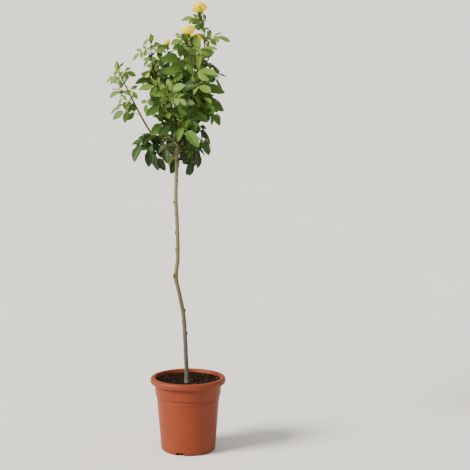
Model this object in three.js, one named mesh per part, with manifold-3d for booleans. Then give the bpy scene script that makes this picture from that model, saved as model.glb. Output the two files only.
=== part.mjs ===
// A standard rose: a rose bush grafted on a tall bare stem, in a terracotta coloured plastic pot.
// Millimetres, +Z up. The origin is the centre of the pot's flat underside, +X is to the right
// and +Y away from whoever looks at the front.
import * as THREE from 'three';
import { mergeVertices } from 'three/addons/utils/BufferGeometryUtils.js';
import Module from 'manifold-3d';

const wasm = await Module();
wasm.setup();

const vec = (x, y, z) => new THREE.Vector3(x, y, z);
const rad = THREE.MathUtils.degToRad;
const UP = vec(0, 0, 1);

// Clearance between two pieces that touch
const GAP = 0.3;
const SLIVER = 0.02; // edges shorter than this are drawn together after joining

// The pot: a 24 cm rim, a band under it, a slightly tapered body and four drain notches
const POT_SEGMENTS = 30;
const RIM_RADIUS = 120;
const RIM_TOP = 239;
const ROLL_HEIGHT = 20;
const ROLL_TOP_INSET = 8;
const ROLL_ROUND = 3;
const LIP_ROUND = 2.5;
const LIP_DEPTH = 9;
const BAND_TOP_RADIUS = 106;
const BAND_FOOT_RADIUS = 102;
const BAND_FOOT = 181;
const BODY_TOP_RADIUS = 97;
const BODY_FOOT_RADIUS = 85;
const FOOT_ROUND = 12;
const WALL = 3;
const FLOOR = 4;
const RIDGE_HEIGHT = 168;
const RIDGE_SIZE = 0.9;
const RIDGE_HALF_WIDTH = 2;
const NOTCH_WIDTH = 25;
const NOTCH_HEIGHT = 8;
const NOTCH_DEPTH = 30;
const NOTCH_COUNT = 4;
const FIRST_NOTCH = -107;

// The compost is a shallow dish: it reaches almost up to the rim at its edge and is flat round the stem
const COMPOST_TOP = 219;
const COMPOST_EDGE = 228;
const COMPOST_FLAT = 26;
const COMPOST_GAP = 0.4;

// The stem: radii in millimetres, and the bends that its axis passes through, as x and z
const STEM_SIDES = 8;
const STEM_STEPS = 20;
const STEM_FOOT_RADIUS = 6.9;
const STEM_TOP_RADIUS = 5.6;
const FLARE = 4.2;
const FLARE_HEIGHT = 13;
const GRAFT_HEIGHT = 962;
const GRAFT_SWELLING = 3.4;
const GRAFT_LENGTH = 17;
const STEM_BENDS = [
  [-2, COMPOST_TOP - 10],
  [-6.5, 310],
  [-12, 425],
  [-23, 492],
  [-36, 560],
  [-30.5, 625],
  [-31.5, 715],
  [-35.5, 815],
  [-32.5, 910],
  [-32, 1026],
];

// Boughs: five-sided limbs that leave the stem near the graft
const BOUGH_SIDES = 5;
const BOUGH_STEPS = 5;
const BOUGH_FOOT_RADIUS = 4.1;
const BOUGH_TIP_RADIUS = 2.9;
const BOUGH_SEAT = 0.4;

// Shoots: the young green stems that carry the leaves and end in a bloom, a bud or a last leaf
const SHOOT_SIDES = 3;
const SHOOT_STEPS = 4;
const SHOOT_FOOT_RADIUS = 2.9;
const SHOOT_TIP_RADIUS = 1.7;
const SIDE_SHOOT = 0.8;
const FIRST_LEAF = 0.1;
const LAST_LEAF = 0.93;
const LEAF_TURN = 137.5;
const END_LEAVES = 0.85;

// Chance makes each leaf differ: in degrees, and as shares of its size
const BEARING_CHANCE = 24;
const OPENING_CHANCE = 16;
const ROLL_CHANCE = 44;
const SIZE_LEAST = 0.94;
const SIZE_CHANCE = 0.14;
const SIZE_AT_FOOT = 1.06;
const SIZE_LOST = 0.3;

// A leaf of size 1: five leaflets on a stalk, all one thin piece
const STALK_LENGTH = 66;
const SHORT_STALK = 0.7;
const STALK_BEND = 0.54;
const STALK_HALF_WIDTH = 1.3;
const STALK_RIDGE = 1.1;
const STALK_ANGLES = [60, 42, 78, 96];
const STALK_SAG = 0.22;
const STALK_LIFT = 0.3;
const PAIR_PLACES = [0.36, 0.75];
const PAIR_ANGLE = 68;
const END_LEAFLET = 54;
const SIDE_LEAFLETS = [36, 43];
const LEAFLET_WIDTH = 0.64;
const LEAFLET_THICKNESS = 1.4;
const LEAFLET_NECK = 1.5;
const LEAFLET_FOLD = 0.16;
const LEAFLET_HANG = 0.12;

// A leaflet's corners, as shares of its length and of its half width
const NEAR_STATION = 0.26;
const NEAR_WIDTH = 0.86;
const FAR_STATION = 0.6;
const FAR_WIDTH = 0.88;
const FAR_HANG = 0.4;
const RIDGE_STATION = 0.12;

// How far a leaf keeps from the next mass and from the limbs
const SPACE_MARGIN = 2.5;
const LIMB_CLEARANCE = 6;
const TRIES = [0, 20, -20, 40, -40, 60, -60, 85, -85, 110, -110];
const STALK_CHECKS = [0.2, 0.5, 1];
const PATCH_PLACES = [0.3, 0.72];
const PATCH_RADIUS = 0.166;

// The crown stands round this axis; leaves show their faces away from it and upwards
const CROWN_AXIS = vec(-40, 0, 0);
const FACE_OUT = 0.7;
const LIGHT = vec(0.05, -0.6, 0.6);

// The crown's outline seen from the front: how far left and right its leaves reach at a height.
// Only the arching shoot on the left stands out of it.
const CROWN_OUTLINE = [
  [880, -60, 12],
  [895, -114, 50],
  [930, -122, 56],
  [948, -186, 74],
  [988, -180, 80],
  [1030, -140, 66],
  [1048, -95, 118],
  [1090, -140, 118],
  [1160, -156, 126],
  [1208, -158, 126],
  [1218, -152, 98],
  [1262, -180, 92],
  [1292, -140, 142],
  [1325, -122, 142],
  [1345, -36, 62],
  [1440, -36, 70],
];
const CROWN_DEPTH = 172;
const ARCH_REACH = -258;

// The masses of foliage. Each grows from a bough that leaves the stem at a height and a bearing
// (0 right, 90 back, 180 left, 270 front), passes a bend and ends at its tip. Each mass has a main
// shoot from there, and side shoots that leave the main one at a share of its length.
const MASSES = [
  {
    name: 'left_arch',
    standsOut: true,
    bough: { height: 946, bearing: 184, bend: vec(-90, -6, 992), tip: vec(-135, -12, 1058) },
    shoots: [
      {
        bend: vec(-184, -22, 1123), tip: vec(-212, -30, 1218),
        leaves: 7, turn: 90, size: 0.85, end: 'bud',
      },
    ],
  },
  {
    name: 'upper_left',
    bough: { height: 1012, bearing: 196, bend: vec(-57, -6, 1060), tip: vec(-76, -14, 1110) },
    shoots: [
      {
        bend: vec(-100, -38, 1210), tip: vec(-107, -45, 1303),
        leaves: 6, turn: 210, size: 0.8, end: 'bud',
      },
      {
        from: 0.12, bend: vec(-60, 2, 1200), tip: vec(-60, 12, 1288),
        leaves: 6, turn: 140, size: 0.9, end: 'opening',
      },
      {
        from: 0.2, bend: vec(-84, 6, 1149), tip: vec(-117, 18, 1190),
        leaves: 3, turn: 160, size: 0.8, end: 'opening',
      },
      {
        from: 0.06, bend: vec(-98, -52, 1118), tip: vec(-112, -70, 1146),
        leaves: 4, turn: 130, size: 1.1,
      },
    ],
  },
  {
    name: 'centre',
    bough: { height: 932, bearing: 330, bend: vec(2, -20, 962), tip: vec(12, -40, 1022) },
    shoots: [
      {
        bend: vec(0, -62, 1159), tip: vec(7, -48, 1322),
        leaves: 8, turn: 200, size: 1.05, end: 'bloom',
      },
      {
        from: 0.5, bend: vec(20, -32, 1232), tip: vec(27, -12, 1292),
        leaves: 3, turn: 50, size: 1.1, end: 'bloom',
      },
      {
        from: 0.16, bend: vec(-27, -62, 1114), tip: vec(-22, -68, 1204),
        leaves: 7, turn: 250, size: 1,
      },
      {
        from: 0.08, bend: vec(34, -66, 1080), tip: vec(44, -72, 1130),
        leaves: 4, turn: 270, size: 0.9,
      },
    ],
  },
  {
    name: 'tall_right',
    bough: { height: 1020, bearing: 12, bend: vec(-8, 12, 1080), tip: vec(16, 22, 1132) },
    shoots: [
      {
        bend: vec(59, 31, 1252), tip: vec(42, 16, 1390),
        leaves: 10, turn: 150, size: 0.9, end: 'bloom',
      },
      {
        from: 0.14, bend: vec(36, 28, 1190), tip: vec(58, 36, 1222),
        leaves: 4, turn: 170, size: 1,
      },
      {
        from: 0.1, bend: vec(10, 32, 1198), tip: vec(10, 52, 1260),
        leaves: 6, turn: 260, size: 1.05,
      },
      {
        from: 0.4, bend: vec(70, 13, 1265), tip: vec(38, 10, 1326),
        leaves: 4, turn: 320, size: 1.1,
      },
    ],
  },
  {
    name: 'right',
    bough: { height: 996, bearing: 8, bend: vec(2, 2, 1036), tip: vec(22, 0, 1078) },
    shoots: [
      {
        bend: vec(34, -4, 1110), tip: vec(40, -6, 1150),
        leaves: 5, turn: 10, size: 1,
      },
      {
        from: 0.15, bend: vec(35, -16, 1080), tip: vec(48, -26, 1076),
        leaves: 4, turn: 190, size: 1.1,
      },
      {
        from: 0.34, bend: vec(71, 20, 1090), tip: vec(58, 2, 1108),
        leaves: 4, turn: 170, size: 0.85,
      },
    ],
  },
  {
    name: 'low_right',
    bough: { height: 978, bearing: 342, bend: vec(-4, -4, 990), tip: vec(12, -10, 1000) },
    shoots: [
      {
        bend: vec(24, -20, 1004), tip: vec(34, -30, 998),
        leaves: 4, turn: 190, size: 0.95,
      },
      {
        from: 0.25, bend: vec(25, -36, 984), tip: vec(20, -54, 968),
        leaves: 4, turn: 130, size: 0.95,
      },
      {
        from: 0.3, bend: vec(41, -15, 998), tip: vec(54, 16, 972),
        leaves: 5, turn: 170, size: 1.05,
      },
    ],
  },
  {
    name: 'low_left',
    bough: { height: 964, bearing: 210, bend: vec(-62, -20, 976), tip: vec(-80, -34, 998) },
    shoots: [
      {
        bend: vec(-102, -42, 1010), tip: vec(-120, -46, 1002),
        leaves: 4, turn: 330, size: 1.05,
      },
      {
        from: 0.1, bend: vec(-92, -35, 1000), tip: vec(-50, -69, 1012),
        leaves: 4, turn: 100, size: 1,
      },
    ],
  },
  {
    name: 'front',
    bough: { height: 988, bearing: 264, bend: vec(-38, -38, 1010), tip: vec(-44, -70, 1040) },
    shoots: [
      {
        bend: vec(-58, -113, 1073), tip: vec(-66, -120, 1152),
        leaves: 5, turn: 190, size: 1.05,
      },
      {
        from: 0.15, bend: vec(-20, -98, 1050), tip: vec(0, -112, 1062),
        leaves: 4, turn: 130, size: 0.85,
      },
    ],
  },
  {
    name: 'back_left',
    bough: { height: 982, bearing: 128, bend: vec(-62, 36, 1012), tip: vec(-80, 62, 1050) },
    shoots: [
      {
        bend: vec(-103, 67, 1100), tip: vec(-104, 118, 1172),
        leaves: 5, turn: 80, size: 1.1, end: 'bud',
      },
      {
        from: 0.1, bend: vec(-108, 72, 1065), tip: vec(-110, 82, 1078),
        leaves: 4, turn: 330, size: 1.05,
      },
    ],
  },
  {
    name: 'back_right',
    bough: { height: 1006, bearing: 62, bend: vec(-12, 36, 1040), tip: vec(8, 62, 1082) },
    shoots: [
      {
        bend: vec(30, 84, 1134), tip: vec(22, 112, 1226),
        leaves: 6, turn: 180, size: 1, end: 'bloom',
      },
      {
        from: 0.12, bend: vec(61, 106, 1108), tip: vec(80, 72, 1118),
        leaves: 4, turn: 140, size: 1.1,
      },
    ],
  },
  {
    name: 'back_low',
    bough: { height: 958, bearing: 92, bend: vec(-34, 44, 978), tip: vec(-34, 76, 1006) },
    shoots: [
      {
        bend: vec(-25, 115, 1046), tip: vec(-44, 150, 1036),
        leaves: 5, turn: 0, size: 1.05,
      },
      {
        from: 0.1, bend: vec(0, 100, 995), tip: vec(18, 112, 986),
        leaves: 3, turn: 210, size: 1,
      },
    ],
  },
];

// Materials
const paint = (color, roughness) => new THREE.MeshStandardMaterial({ color, roughness, metalness: 0 });
const plastic = () => paint(0xb4633c, 0.6);
const compost = () => paint(0x33231b, 0.95);
const bark = () => paint(0x6b6a4a, 0.75);
const foliage = () => paint(0x4b6e28, 0.55);

// A closed geometry as a solid that can be joined and cut
function solidOf(geometry) {
  const bare = new THREE.BufferGeometry();
  bare.setAttribute('position', geometry.getAttribute('position'));
  bare.setIndex(geometry.index);
  const welded = mergeVertices(bare, 1e-4);
  const corners = welded.index.array;
  const kept = [];
  for (let i = 0; i < corners.length; i += 3) {
    const [a, b, c] = corners.subarray(i, i + 3);
    if (a !== b && b !== c && c !== a) kept.push(a, b, c);
  }
  return new wasm.Manifold(
    new wasm.Mesh({
      numProp: 3,
      vertProperties: new Float32Array(welded.getAttribute('position').array),
      triVerts: new Uint32Array(kept),
    }),
  );
}

// A solid as a named mesh
function meshOf(name, solid, material) {
  const { vertProperties, triVerts } = solid.getMesh();
  const geometry = new THREE.BufferGeometry();
  geometry.setAttribute('position', new THREE.BufferAttribute(vertProperties, 3));
  geometry.setIndex(new THREE.BufferAttribute(triVerts, 1));
  geometry.computeVertexNormals();
  const mesh = new THREE.Mesh(geometry, material);
  mesh.name = name;
  return mesh;
}

// A solid turned on a lathe from its outline, given as radius and height
function turned(outline, segments) {
  const points = outline.map(([r, z]) => new THREE.Vector2(r, z));
  return new THREE.LatheGeometry(points, segments).rotateX(Math.PI / 2);
}

// A curve from one point to another that passes a bend half way
function bow(start, bend, tip) {
  const control = bend.clone().multiplyScalar(2).addScaledVector(start, -0.5).addScaledVector(tip, -0.5);
  return new THREE.QuadraticBezierCurve3(start, control, tip);
}

// The world axis that lies most across a direction
function acrossAxis(direction) {
  const size = [Math.abs(direction.x), Math.abs(direction.y), Math.abs(direction.z)];
  const least = size.indexOf(Math.min(...size));
  return vec(least === 0 ? 1 : 0, least === 1 ? 1 : 0, least === 2 ? 1 : 0);
}

// A unit vector at right angles to an axis, as near to a wanted direction as it can be
function squareTo(axis, wanted) {
  return wanted.clone().addScaledVector(axis, -wanted.dot(axis)).normalize();
}

const chord = (curve) => curve.getPoint(1).sub(curve.getPoint(0));

// A limb: a cylinder whose rings are moved on to a curve, each with its own radius
function limb(curve, radiusAt, sides, steps, reference = acrossAxis(chord(curve))) {
  const tube = new THREE.CylinderGeometry(1, 1, 1, sides, steps);
  const place = tube.getAttribute('position');
  for (let i = 0; i < place.count; i += 1) {
    const t = THREE.MathUtils.clamp(place.getY(i) + 0.5, 0, 1);
    const along = curve.getTangent(t);
    const side = squareTo(along, reference);
    const other = side.clone().cross(along);
    const radius = radiusAt(t);
    const point = curve
      .getPoint(t)
      .addScaledVector(side, place.getX(i) * radius)
      .addScaledVector(other, place.getZ(i) * radius);
    place.setXYZ(i, point.x, point.y, point.z);
  }
  return tube;
}

const taper = (from, to) => (t) => from + (to - from) * t;

// The same chances each run: numbers from 0 to 1
function chances(seed) {
  let state = seed >>> 0;
  return () => {
    state = (state + 0x6d2b79f5) >>> 0;
    let t = state;
    t = Math.imul(t ^ (t >>> 15), t | 1);
    t ^= t + Math.imul(t ^ (t >>> 7), t | 61);
    return ((t ^ (t >>> 14)) >>> 0) / 4294967296;
  };
}

// The pot and its compost
function pot() {
  const rollMiddle = RIM_TOP - ROLL_HEIGHT / 2;
  const rollFoot = RIM_TOP - ROLL_HEIGHT;
  const outline = [
    [0, 0],
    [BODY_FOOT_RADIUS - FOOT_ROUND, 0],
    [BODY_FOOT_RADIUS - FOOT_ROUND * 0.3, FOOT_ROUND * 0.3],
    [BODY_FOOT_RADIUS, FOOT_ROUND],
    [BODY_TOP_RADIUS, RIDGE_HEIGHT - RIDGE_HALF_WIDTH],
    [BODY_TOP_RADIUS + RIDGE_SIZE, RIDGE_HEIGHT],
    [BODY_TOP_RADIUS, RIDGE_HEIGHT + RIDGE_HALF_WIDTH],
    [BAND_FOOT_RADIUS, BAND_FOOT],
    [BAND_TOP_RADIUS, rollFoot],
    [RIM_RADIUS - ROLL_TOP_INSET, rollFoot],
    [RIM_RADIUS - ROLL_ROUND * 0.5, rollFoot + ROLL_ROUND],
    [RIM_RADIUS, rollMiddle],
    [RIM_RADIUS - ROLL_ROUND, RIM_TOP - ROLL_ROUND],
    [RIM_RADIUS - ROLL_TOP_INSET, RIM_TOP],
    [BAND_TOP_RADIUS, RIM_TOP - LIP_ROUND],
    [BAND_TOP_RADIUS - LIP_ROUND, RIM_TOP - LIP_DEPTH],
    ...innerWall().reverse(),
    [0, FLOOR],
  ];
  let body = solidOf(turned(outline, POT_SEGMENTS));
  for (let i = 0; i < NOTCH_COUNT; i += 1) {
    const angle = rad(FIRST_NOTCH + (360 / NOTCH_COUNT) * i);
    const notch = new THREE.BoxGeometry(NOTCH_DEPTH, NOTCH_WIDTH, NOTCH_HEIGHT * 2)
      .translate(BODY_FOOT_RADIUS, 0, 0)
      .rotateZ(angle);
    body = body.subtract(solidOf(notch));
  }
  return body;
}

// The inside of the pot from its floor up to the compost's edge, as radius and height
function innerWall() {
  return [
    [BODY_FOOT_RADIUS - FOOT_ROUND, FLOOR],
    [BODY_FOOT_RADIUS - WALL, FOOT_ROUND + FLOOR],
    [BODY_TOP_RADIUS - WALL, RIDGE_HEIGHT],
    [BAND_FOOT_RADIUS - WALL, BAND_FOOT],
    [BAND_TOP_RADIUS - WALL, COMPOST_EDGE],
  ];
}

function compostFill() {
  const wall = innerWall().map(([r, z]) => [r - COMPOST_GAP, z]);
  wall[0][1] += GAP;
  const dish = [[COMPOST_FLAT, COMPOST_TOP], [0, COMPOST_TOP]];
  return solidOf(turned([[0, wall[0][1]], ...wall, ...dish], POT_SEGMENTS));
}

// The stem, with its flared foot and the swelling of the graft
const stemPath = new THREE.CatmullRomCurve3(
  STEM_BENDS.map(([x, z]) => vec(x, 0, z)),
  false,
  'catmullrom',
  0.5,
);

function stemRadius(t) {
  const { z } = stemPath.getPoint(t);
  const foot = Math.exp(-Math.max(0, z - COMPOST_TOP) / FLARE_HEIGHT) * FLARE;
  const graft = Math.exp(-(((z - GRAFT_HEIGHT) / GRAFT_LENGTH) ** 2)) * GRAFT_SWELLING;
  return STEM_FOOT_RADIUS + (STEM_TOP_RADIUS - STEM_FOOT_RADIUS) * t + foot + graft;
}

// The stem is cut flat just above the compost
function stemSolid() {
  const whole = solidOf(limb(stemPath, stemRadius, STEM_SIDES, STEM_STEPS));
  const ground = new THREE.BoxGeometry(RIM_RADIUS, RIM_RADIUS, COMPOST_TOP);
  ground.translate(0, 0, COMPOST_TOP / 2 + GAP);
  return whole.subtract(solidOf(ground));
}

// The point of the stem's axis at a height
function stemAt(height) {
  let low = 0;
  let high = 1;
  for (let i = 0; i < 30; i += 1) {
    const middle = (low + high) / 2;
    if (stemPath.getPoint(middle).z < height) low = middle;
    else high = middle;
  }
  return low;
}

// A bough starts on the stem's axis; what lies inside the stem is cut away later
function boughPath({ height, bearing, bend, tip }) {
  const t = stemAt(height);
  const outward = vec(Math.cos(rad(bearing)), Math.sin(rad(bearing)), 0);
  const start = stemPath.getPoint(t).addScaledVector(outward, stemRadius(t) * BOUGH_SEAT);
  return bow(start, bend, tip);
}

// The points along a curve that stand for it when distances are measured
function pointsAlong(curve, count) {
  return Array.from({ length: count + 1 }, (_, i) => curve.getPoint(i / count));
}

function distanceToPath(point, path) {
  let nearest = Infinity;
  for (let i = 1; i < path.length; i += 1) {
    const line = new THREE.Line3(path[i - 1], path[i]);
    const foot = line.closestPointToPoint(point, true, vec(0, 0, 0));
    nearest = Math.min(nearest, foot.distanceTo(point));
  }
  return nearest;
}

const BLOOM_SIZES = { bloom: 23, opening: 11, bud: 9 };

// Lay out every mass's bough and shoots before any leaf, because leaves keep clear of them
function layOut(mass) {
  mass.boughCurve = boughPath(mass.bough);
  const tipWay = mass.boughCurve.getTangent(1);
  const foot = mass.bough.tip.clone().addScaledVector(tipWay, GAP);
  for (const shoot of mass.shoots) {
    const main = mass.shoots[0];
    const start = shoot === main ? foot : main.curve.getPoint(shoot.from);
    shoot.curve = bow(start, shoot.bend, shoot.tip);
    if (shoot === main) {
      // the main shoot leaves square to the bough's end
      const reach = shoot.curve.v1.distanceTo(start);
      shoot.curve.v1.copy(start).addScaledVector(tipWay, reach);
    }
    shoot.path = pointsAlong(shoot.curve, 8);
  }
}
MASSES.forEach(layOut);
const LIMBS = [
  { path: pointsAlong(stemPath, 40), radius: STEM_FOOT_RADIUS },
  ...MASSES.map((mass) => ({ path: pointsAlong(mass.boughCurve, 8), radius: BOUGH_FOOT_RADIUS })),
];

// How far a point is from a mass's shoots and blooms
function distanceToMass(point, mass) {
  let nearest = Infinity;
  for (const shoot of mass.shoots) {
    nearest = Math.min(nearest, distanceToPath(point, shoot.path));
    if (shoot.end) {
      nearest = Math.min(nearest, shoot.tip.distanceTo(point) - BLOOM_SIZES[shoot.end]);
    }
  }
  return nearest;
}

// Whether a point lies inside the crown's outline
function insideOutline(point, mass) {
  const above = CROWN_OUTLINE.findIndex(([height]) => height > point.z);
  if (above < 1 || Math.abs(point.y) > CROWN_DEPTH) return false;
  const [low, lowLeft, lowRight] = CROWN_OUTLINE[above - 1];
  const [high, highLeft, highRight] = CROWN_OUTLINE[above];
  const share = (point.z - low) / (high - low);
  const left = mass.standsOut ? ARCH_REACH : lowLeft + (highLeft - lowLeft) * share;
  return point.x > left && point.x < lowRight + (highRight - lowRight) * share;
}

// A leaf that would leave its mass's space or touch a limb has a point for which this is false
function staysInside(point, mass) {
  if (!insideOutline(point, mass)) return false;
  const own = distanceToMass(point, mass) + SPACE_MARGIN;
  if (MASSES.some((other) => other !== mass && distanceToMass(point, other) < own)) return false;
  return LIMBS.every(({ path, radius }) => distanceToPath(point, path) > radius + LIMB_CLEARANCE);
}

// Where a compound leaf lies: place() puts a point of the flat leaf, x along its stalk, y to its
// left and z over its face, on to the sagging leaf. A leaflet is stiff, so all of it lies as the
// stalk does at its station.
function planLeaf(foot, outward, size, pairs, roll) {
  const length = STALK_LENGTH * size * (pairs === 2 ? 1 : SHORT_STALK);
  const end = foot.clone().addScaledVector(outward, length).addScaledVector(UP, -length * STALK_SAG);
  const stalk = bow(foot, foot.clone().addScaledVector(outward, length * STALK_BEND), end);
  const away = foot.clone().sub(CROWN_AXIS).setZ(0).normalize();
  const face = away.multiplyScalar(FACE_OUT).add(LIGHT);
  const place = (x, y, z, station = x) => {
    const t = Math.min(1, station / length);
    const along = stalk.getTangent(t);
    const normal = squareTo(along, face).applyAxisAngle(along, roll);
    const left = normal.clone().cross(along);
    return stalk
      .getPoint(t)
      .addScaledVector(along, x - t * length)
      .addScaledVector(left, y)
      .addScaledVector(normal, z);
  };
  const places = pairs === 2 ? PAIR_PLACES : PAIR_PLACES.slice(1);
  const lengths = pairs === 2 ? SIDE_LEAFLETS : SIDE_LEAFLETS.slice(1);
  const side = places.map((share, i) => ({ station: share * length, long: lengths[i] * size }));
  return { place, length, side, long: END_LEAFLET * size };
}

// The outline of a leaflet from its neck round its tip, in the flat leaf: a leaflet starts at a
// station on the stalk and points at an angle to it
function leafletOutline(station, angle, long) {
  const half = (long * LEAFLET_WIDTH) / 2;
  const lift = half * LEAFLET_FOLD;
  const hang = long * LEAFLET_HANG;
  const at = (x, y, z) => [
    station + x * Math.cos(angle) - y * Math.sin(angle),
    x * Math.sin(angle) + y * Math.cos(angle),
    z,
    station,
  ];
  const near = long * NEAR_STATION;
  const far = long * FAR_STATION;
  const farLift = lift - hang * FAR_HANG;
  return [
    at(near, half * NEAR_WIDTH, lift),
    at(far, half * FAR_WIDTH, farLift),
    at(long, 0, -hang),
    at(far, -half * FAR_WIDTH, farLift),
    at(near, -half * NEAR_WIDTH, lift),
    at(long * RIDGE_STATION, 0, LEAFLET_THICKNESS),
  ];
}

// A leaf as one closed surface: a ridge on top of the stalk and a keel below it, and leaflets that
// are folded on their midribs
function leafSurface({ place, length, side, long }) {
  const points = [];
  const faces = [];
  const put = (...spot) => points.push(place(...spot)) - 1;
  const face = (a, b, c, mirrored) => faces.push(...(mirrored ? [a, c, b] : [a, b, c]));
  const leaflet = (outline, from, to, ridge, keel, mirrored) => {
    const [nearA, farA, tip, farB, nearB, top] = outline.map((corner) => put(...corner));
    const rim = [from, nearA, farA, tip, farB, nearB, to, ...(ridge === null ? [] : [ridge, from])];
    for (let i = 1; i < rim.length; i += 1) face(top, rim[i], rim[i - 1], mirrored);
    const under = [from, nearA, farA, tip, farB, nearB, to];
    for (let i = 1; i < under.length; i += 1) face(keel, under[i - 1], under[i], mirrored);
    return top;
  };
  const bar = (ridge0, ridge1, keel0, keel1, edge0, edge1, mirrored) => {
    face(ridge0, ridge1, edge1, mirrored);
    face(ridge0, edge1, edge0, mirrored);
    face(keel0, edge1, keel1, mirrored);
    face(keel0, edge0, edge1, mirrored);
  };
  let ridge = put(0, 0, STALK_RIDGE);
  let keel = put(0, 0, -STALK_RIDGE);
  let edges = [1, -1].map((hand) => put(0, hand * STALK_HALF_WIDTH, 0));
  face(ridge, edges[0], keel, false);
  face(ridge, keel, edges[1], false);
  for (const { station, long: sideLong } of side) {
    const nextRidge = put(station, 0, STALK_RIDGE);
    const nextKeel = put(station, 0, -STALK_RIDGE);
    edges = [1, -1].map((hand, i) => {
      const rear = put(station - LEAFLET_NECK, hand * STALK_HALF_WIDTH, 0);
      const front = put(station + LEAFLET_NECK, hand * STALK_HALF_WIDTH, 0);
      bar(ridge, nextRidge, keel, nextKeel, edges[i], rear, hand < 0);
      const outline = leafletOutline(station, hand * rad(PAIR_ANGLE), sideLong);
      if (hand < 0) outline.splice(0, 5, ...outline.slice(0, 5).reverse());
      leaflet(outline, rear, front, nextRidge, nextKeel, hand < 0);
      return front;
    });
    ridge = nextRidge;
    keel = nextKeel;
  }
  const ends = [1, -1].map((hand) => put(length, hand * STALK_HALF_WIDTH, 0));
  const endKeel = put(length, 0, -STALK_RIDGE);
  const top = leaflet(leafletOutline(length, 0, long), ends[0], ends[1], null, endKeel, false);
  bar(ridge, top, keel, endKeel, edges[0], ends[0], false);
  bar(ridge, top, keel, endKeel, edges[1], ends[1], true);
  return { points, faces };
}

function leafSolid(plan) {
  const { points, faces } = leafSurface(plan);
  return solidOf(new THREE.BufferGeometry().setFromPoints(points).setIndex(faces));
}

// The points of a leaf that are tested for room
function leafPoints(plan) {
  const { length, side, long } = plan;
  const points = STALK_CHECKS.map((share) => plan.place(length * share, 0, 0));
  const outlines = [leafletOutline(length, 0, long)];
  for (const { station, long: sideLong } of side) {
    outlines.push(leafletOutline(station, rad(PAIR_ANGLE), sideLong));
    outlines.push(leafletOutline(station, -rad(PAIR_ANGLE), sideLong));
  }
  for (const corner of outlines.flat()) points.push(plan.place(...corner));
  return points;
}

// Two round patches that stand for each leaflet when leaves are kept off one another
function leafPatches(plan) {
  const patches = [];
  const add = (station, angle, long) => {
    for (const share of PATCH_PLACES) {
      const x = station + long * share * Math.cos(angle);
      const y = long * share * Math.sin(angle);
      patches.push({ centre: plan.place(x, y, 0, station), radius: long * PATCH_RADIUS });
    }
  };
  add(plan.length, 0, plan.long);
  for (const { station, long } of plan.side) {
    add(station, rad(PAIR_ANGLE), long);
    add(station, -rad(PAIR_ANGLE), long);
  }
  return patches;
}

function isClear(patches, taken) {
  return patches.every((patch) =>
    taken.every((other) => patch.centre.distanceTo(other.centre) > patch.radius + other.radius),
  );
}

// The first way that a leaf fits: its own bearing and angle, then others near them, with five
// leaflets or three
function fitLeaf(mass, shoot, index, seed) {
  const chance = chances(seed);
  const t = FIRST_LEAF + ((LAST_LEAF - FIRST_LEAF) * index) / Math.max(1, shoot.leaves - 1);
  const foot = shoot.curve.getPoint(t);
  const along = shoot.curve.getTangent(t);
  const first = squareTo(along, acrossAxis(along));
  const bearing = shoot.turn + LEAF_TURN * index + (chance() - 0.5) * BEARING_CHANCE;
  const spread = (chance() - 0.5) * OPENING_CHANCE;
  const share = (SIZE_AT_FOOT - SIZE_LOST * t * t) * (SIZE_LEAST + chance() * SIZE_CHANCE);
  const size = shoot.size * share;
  const roll = rad((chance() - 0.5) * ROLL_CHANCE);
  const most = t > END_LEAVES && shoot.end ? 1 : 2;
  for (let pairs = most; pairs > 0; pairs -= 1) {
    for (const angle of STALK_ANGLES) {
      const opening = rad(angle + spread);
      for (const offset of TRIES) {
        const side = first.clone().applyAxisAngle(along, rad(bearing + offset));
        const outward = along.clone().multiplyScalar(Math.cos(opening));
        outward.addScaledVector(side, Math.sin(opening)).addScaledVector(UP, STALK_LIFT).normalize();
        const plan = planLeaf(foot, outward, size, pairs, roll);
        const patches = leafPatches(plan);
        if (!isClear(patches, mass.taken)) continue;
        const points = [...leafPoints(plan), ...patches.map(({ centre }) => centre)];
        if (points.every((point) => staysInside(point, mass))) {
          mass.taken.push(...patches);
          return plan;
        }
      }
    }
  }
  return null;
}

// Blooms and buds as radius and height over their foot, in shares of their radius
const BLOOM_OUTLINES = {
  bloom: [[0, -0.12], [0.3, -0.06], [0.72, 0.3], [0.98, 0.85], [0.93, 1.35], [0.6, 1.5], [0, 1.3]],
  opening: [[0, -0.25], [0.5, 0], [0.85, 0.5], [0.8, 1.2], [0.35, 1.8], [0, 1.85]],
  bud: [[0, -0.3], [0.5, 0], [0.85, 0.7], [0.6, 1.6], [0, 2.7]],
};
const BLOOM_UPRIGHT = 1.5;
const BLOOM_SEGMENTS = { bloom: 9, opening: 6, bud: 5 };

function bloomSolid(shoot) {
  const radius = BLOOM_SIZES[shoot.end];
  const outline = BLOOM_OUTLINES[shoot.end].map(([r, z]) => [r * radius, z * radius]);
  const shape = turned(outline, BLOOM_SEGMENTS[shoot.end]);
  const axis = shoot.curve.getTangent(1).addScaledVector(UP, BLOOM_UPRIGHT).normalize();
  const lean = new THREE.Quaternion().setFromUnitVectors(UP, axis);
  return solidOf(shape.applyQuaternion(lean).translate(shoot.tip.x, shoot.tip.y, shoot.tip.z));
}

// Without the slivers, loose scraps and sealed hollows that joining can leave
function largestBody(solid) {
  const bodies = solid.simplify(SLIVER).decompose();
  return bodies.reduce((largest, body) => (body.volume() > largest.volume() ? body : largest));
}

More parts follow.
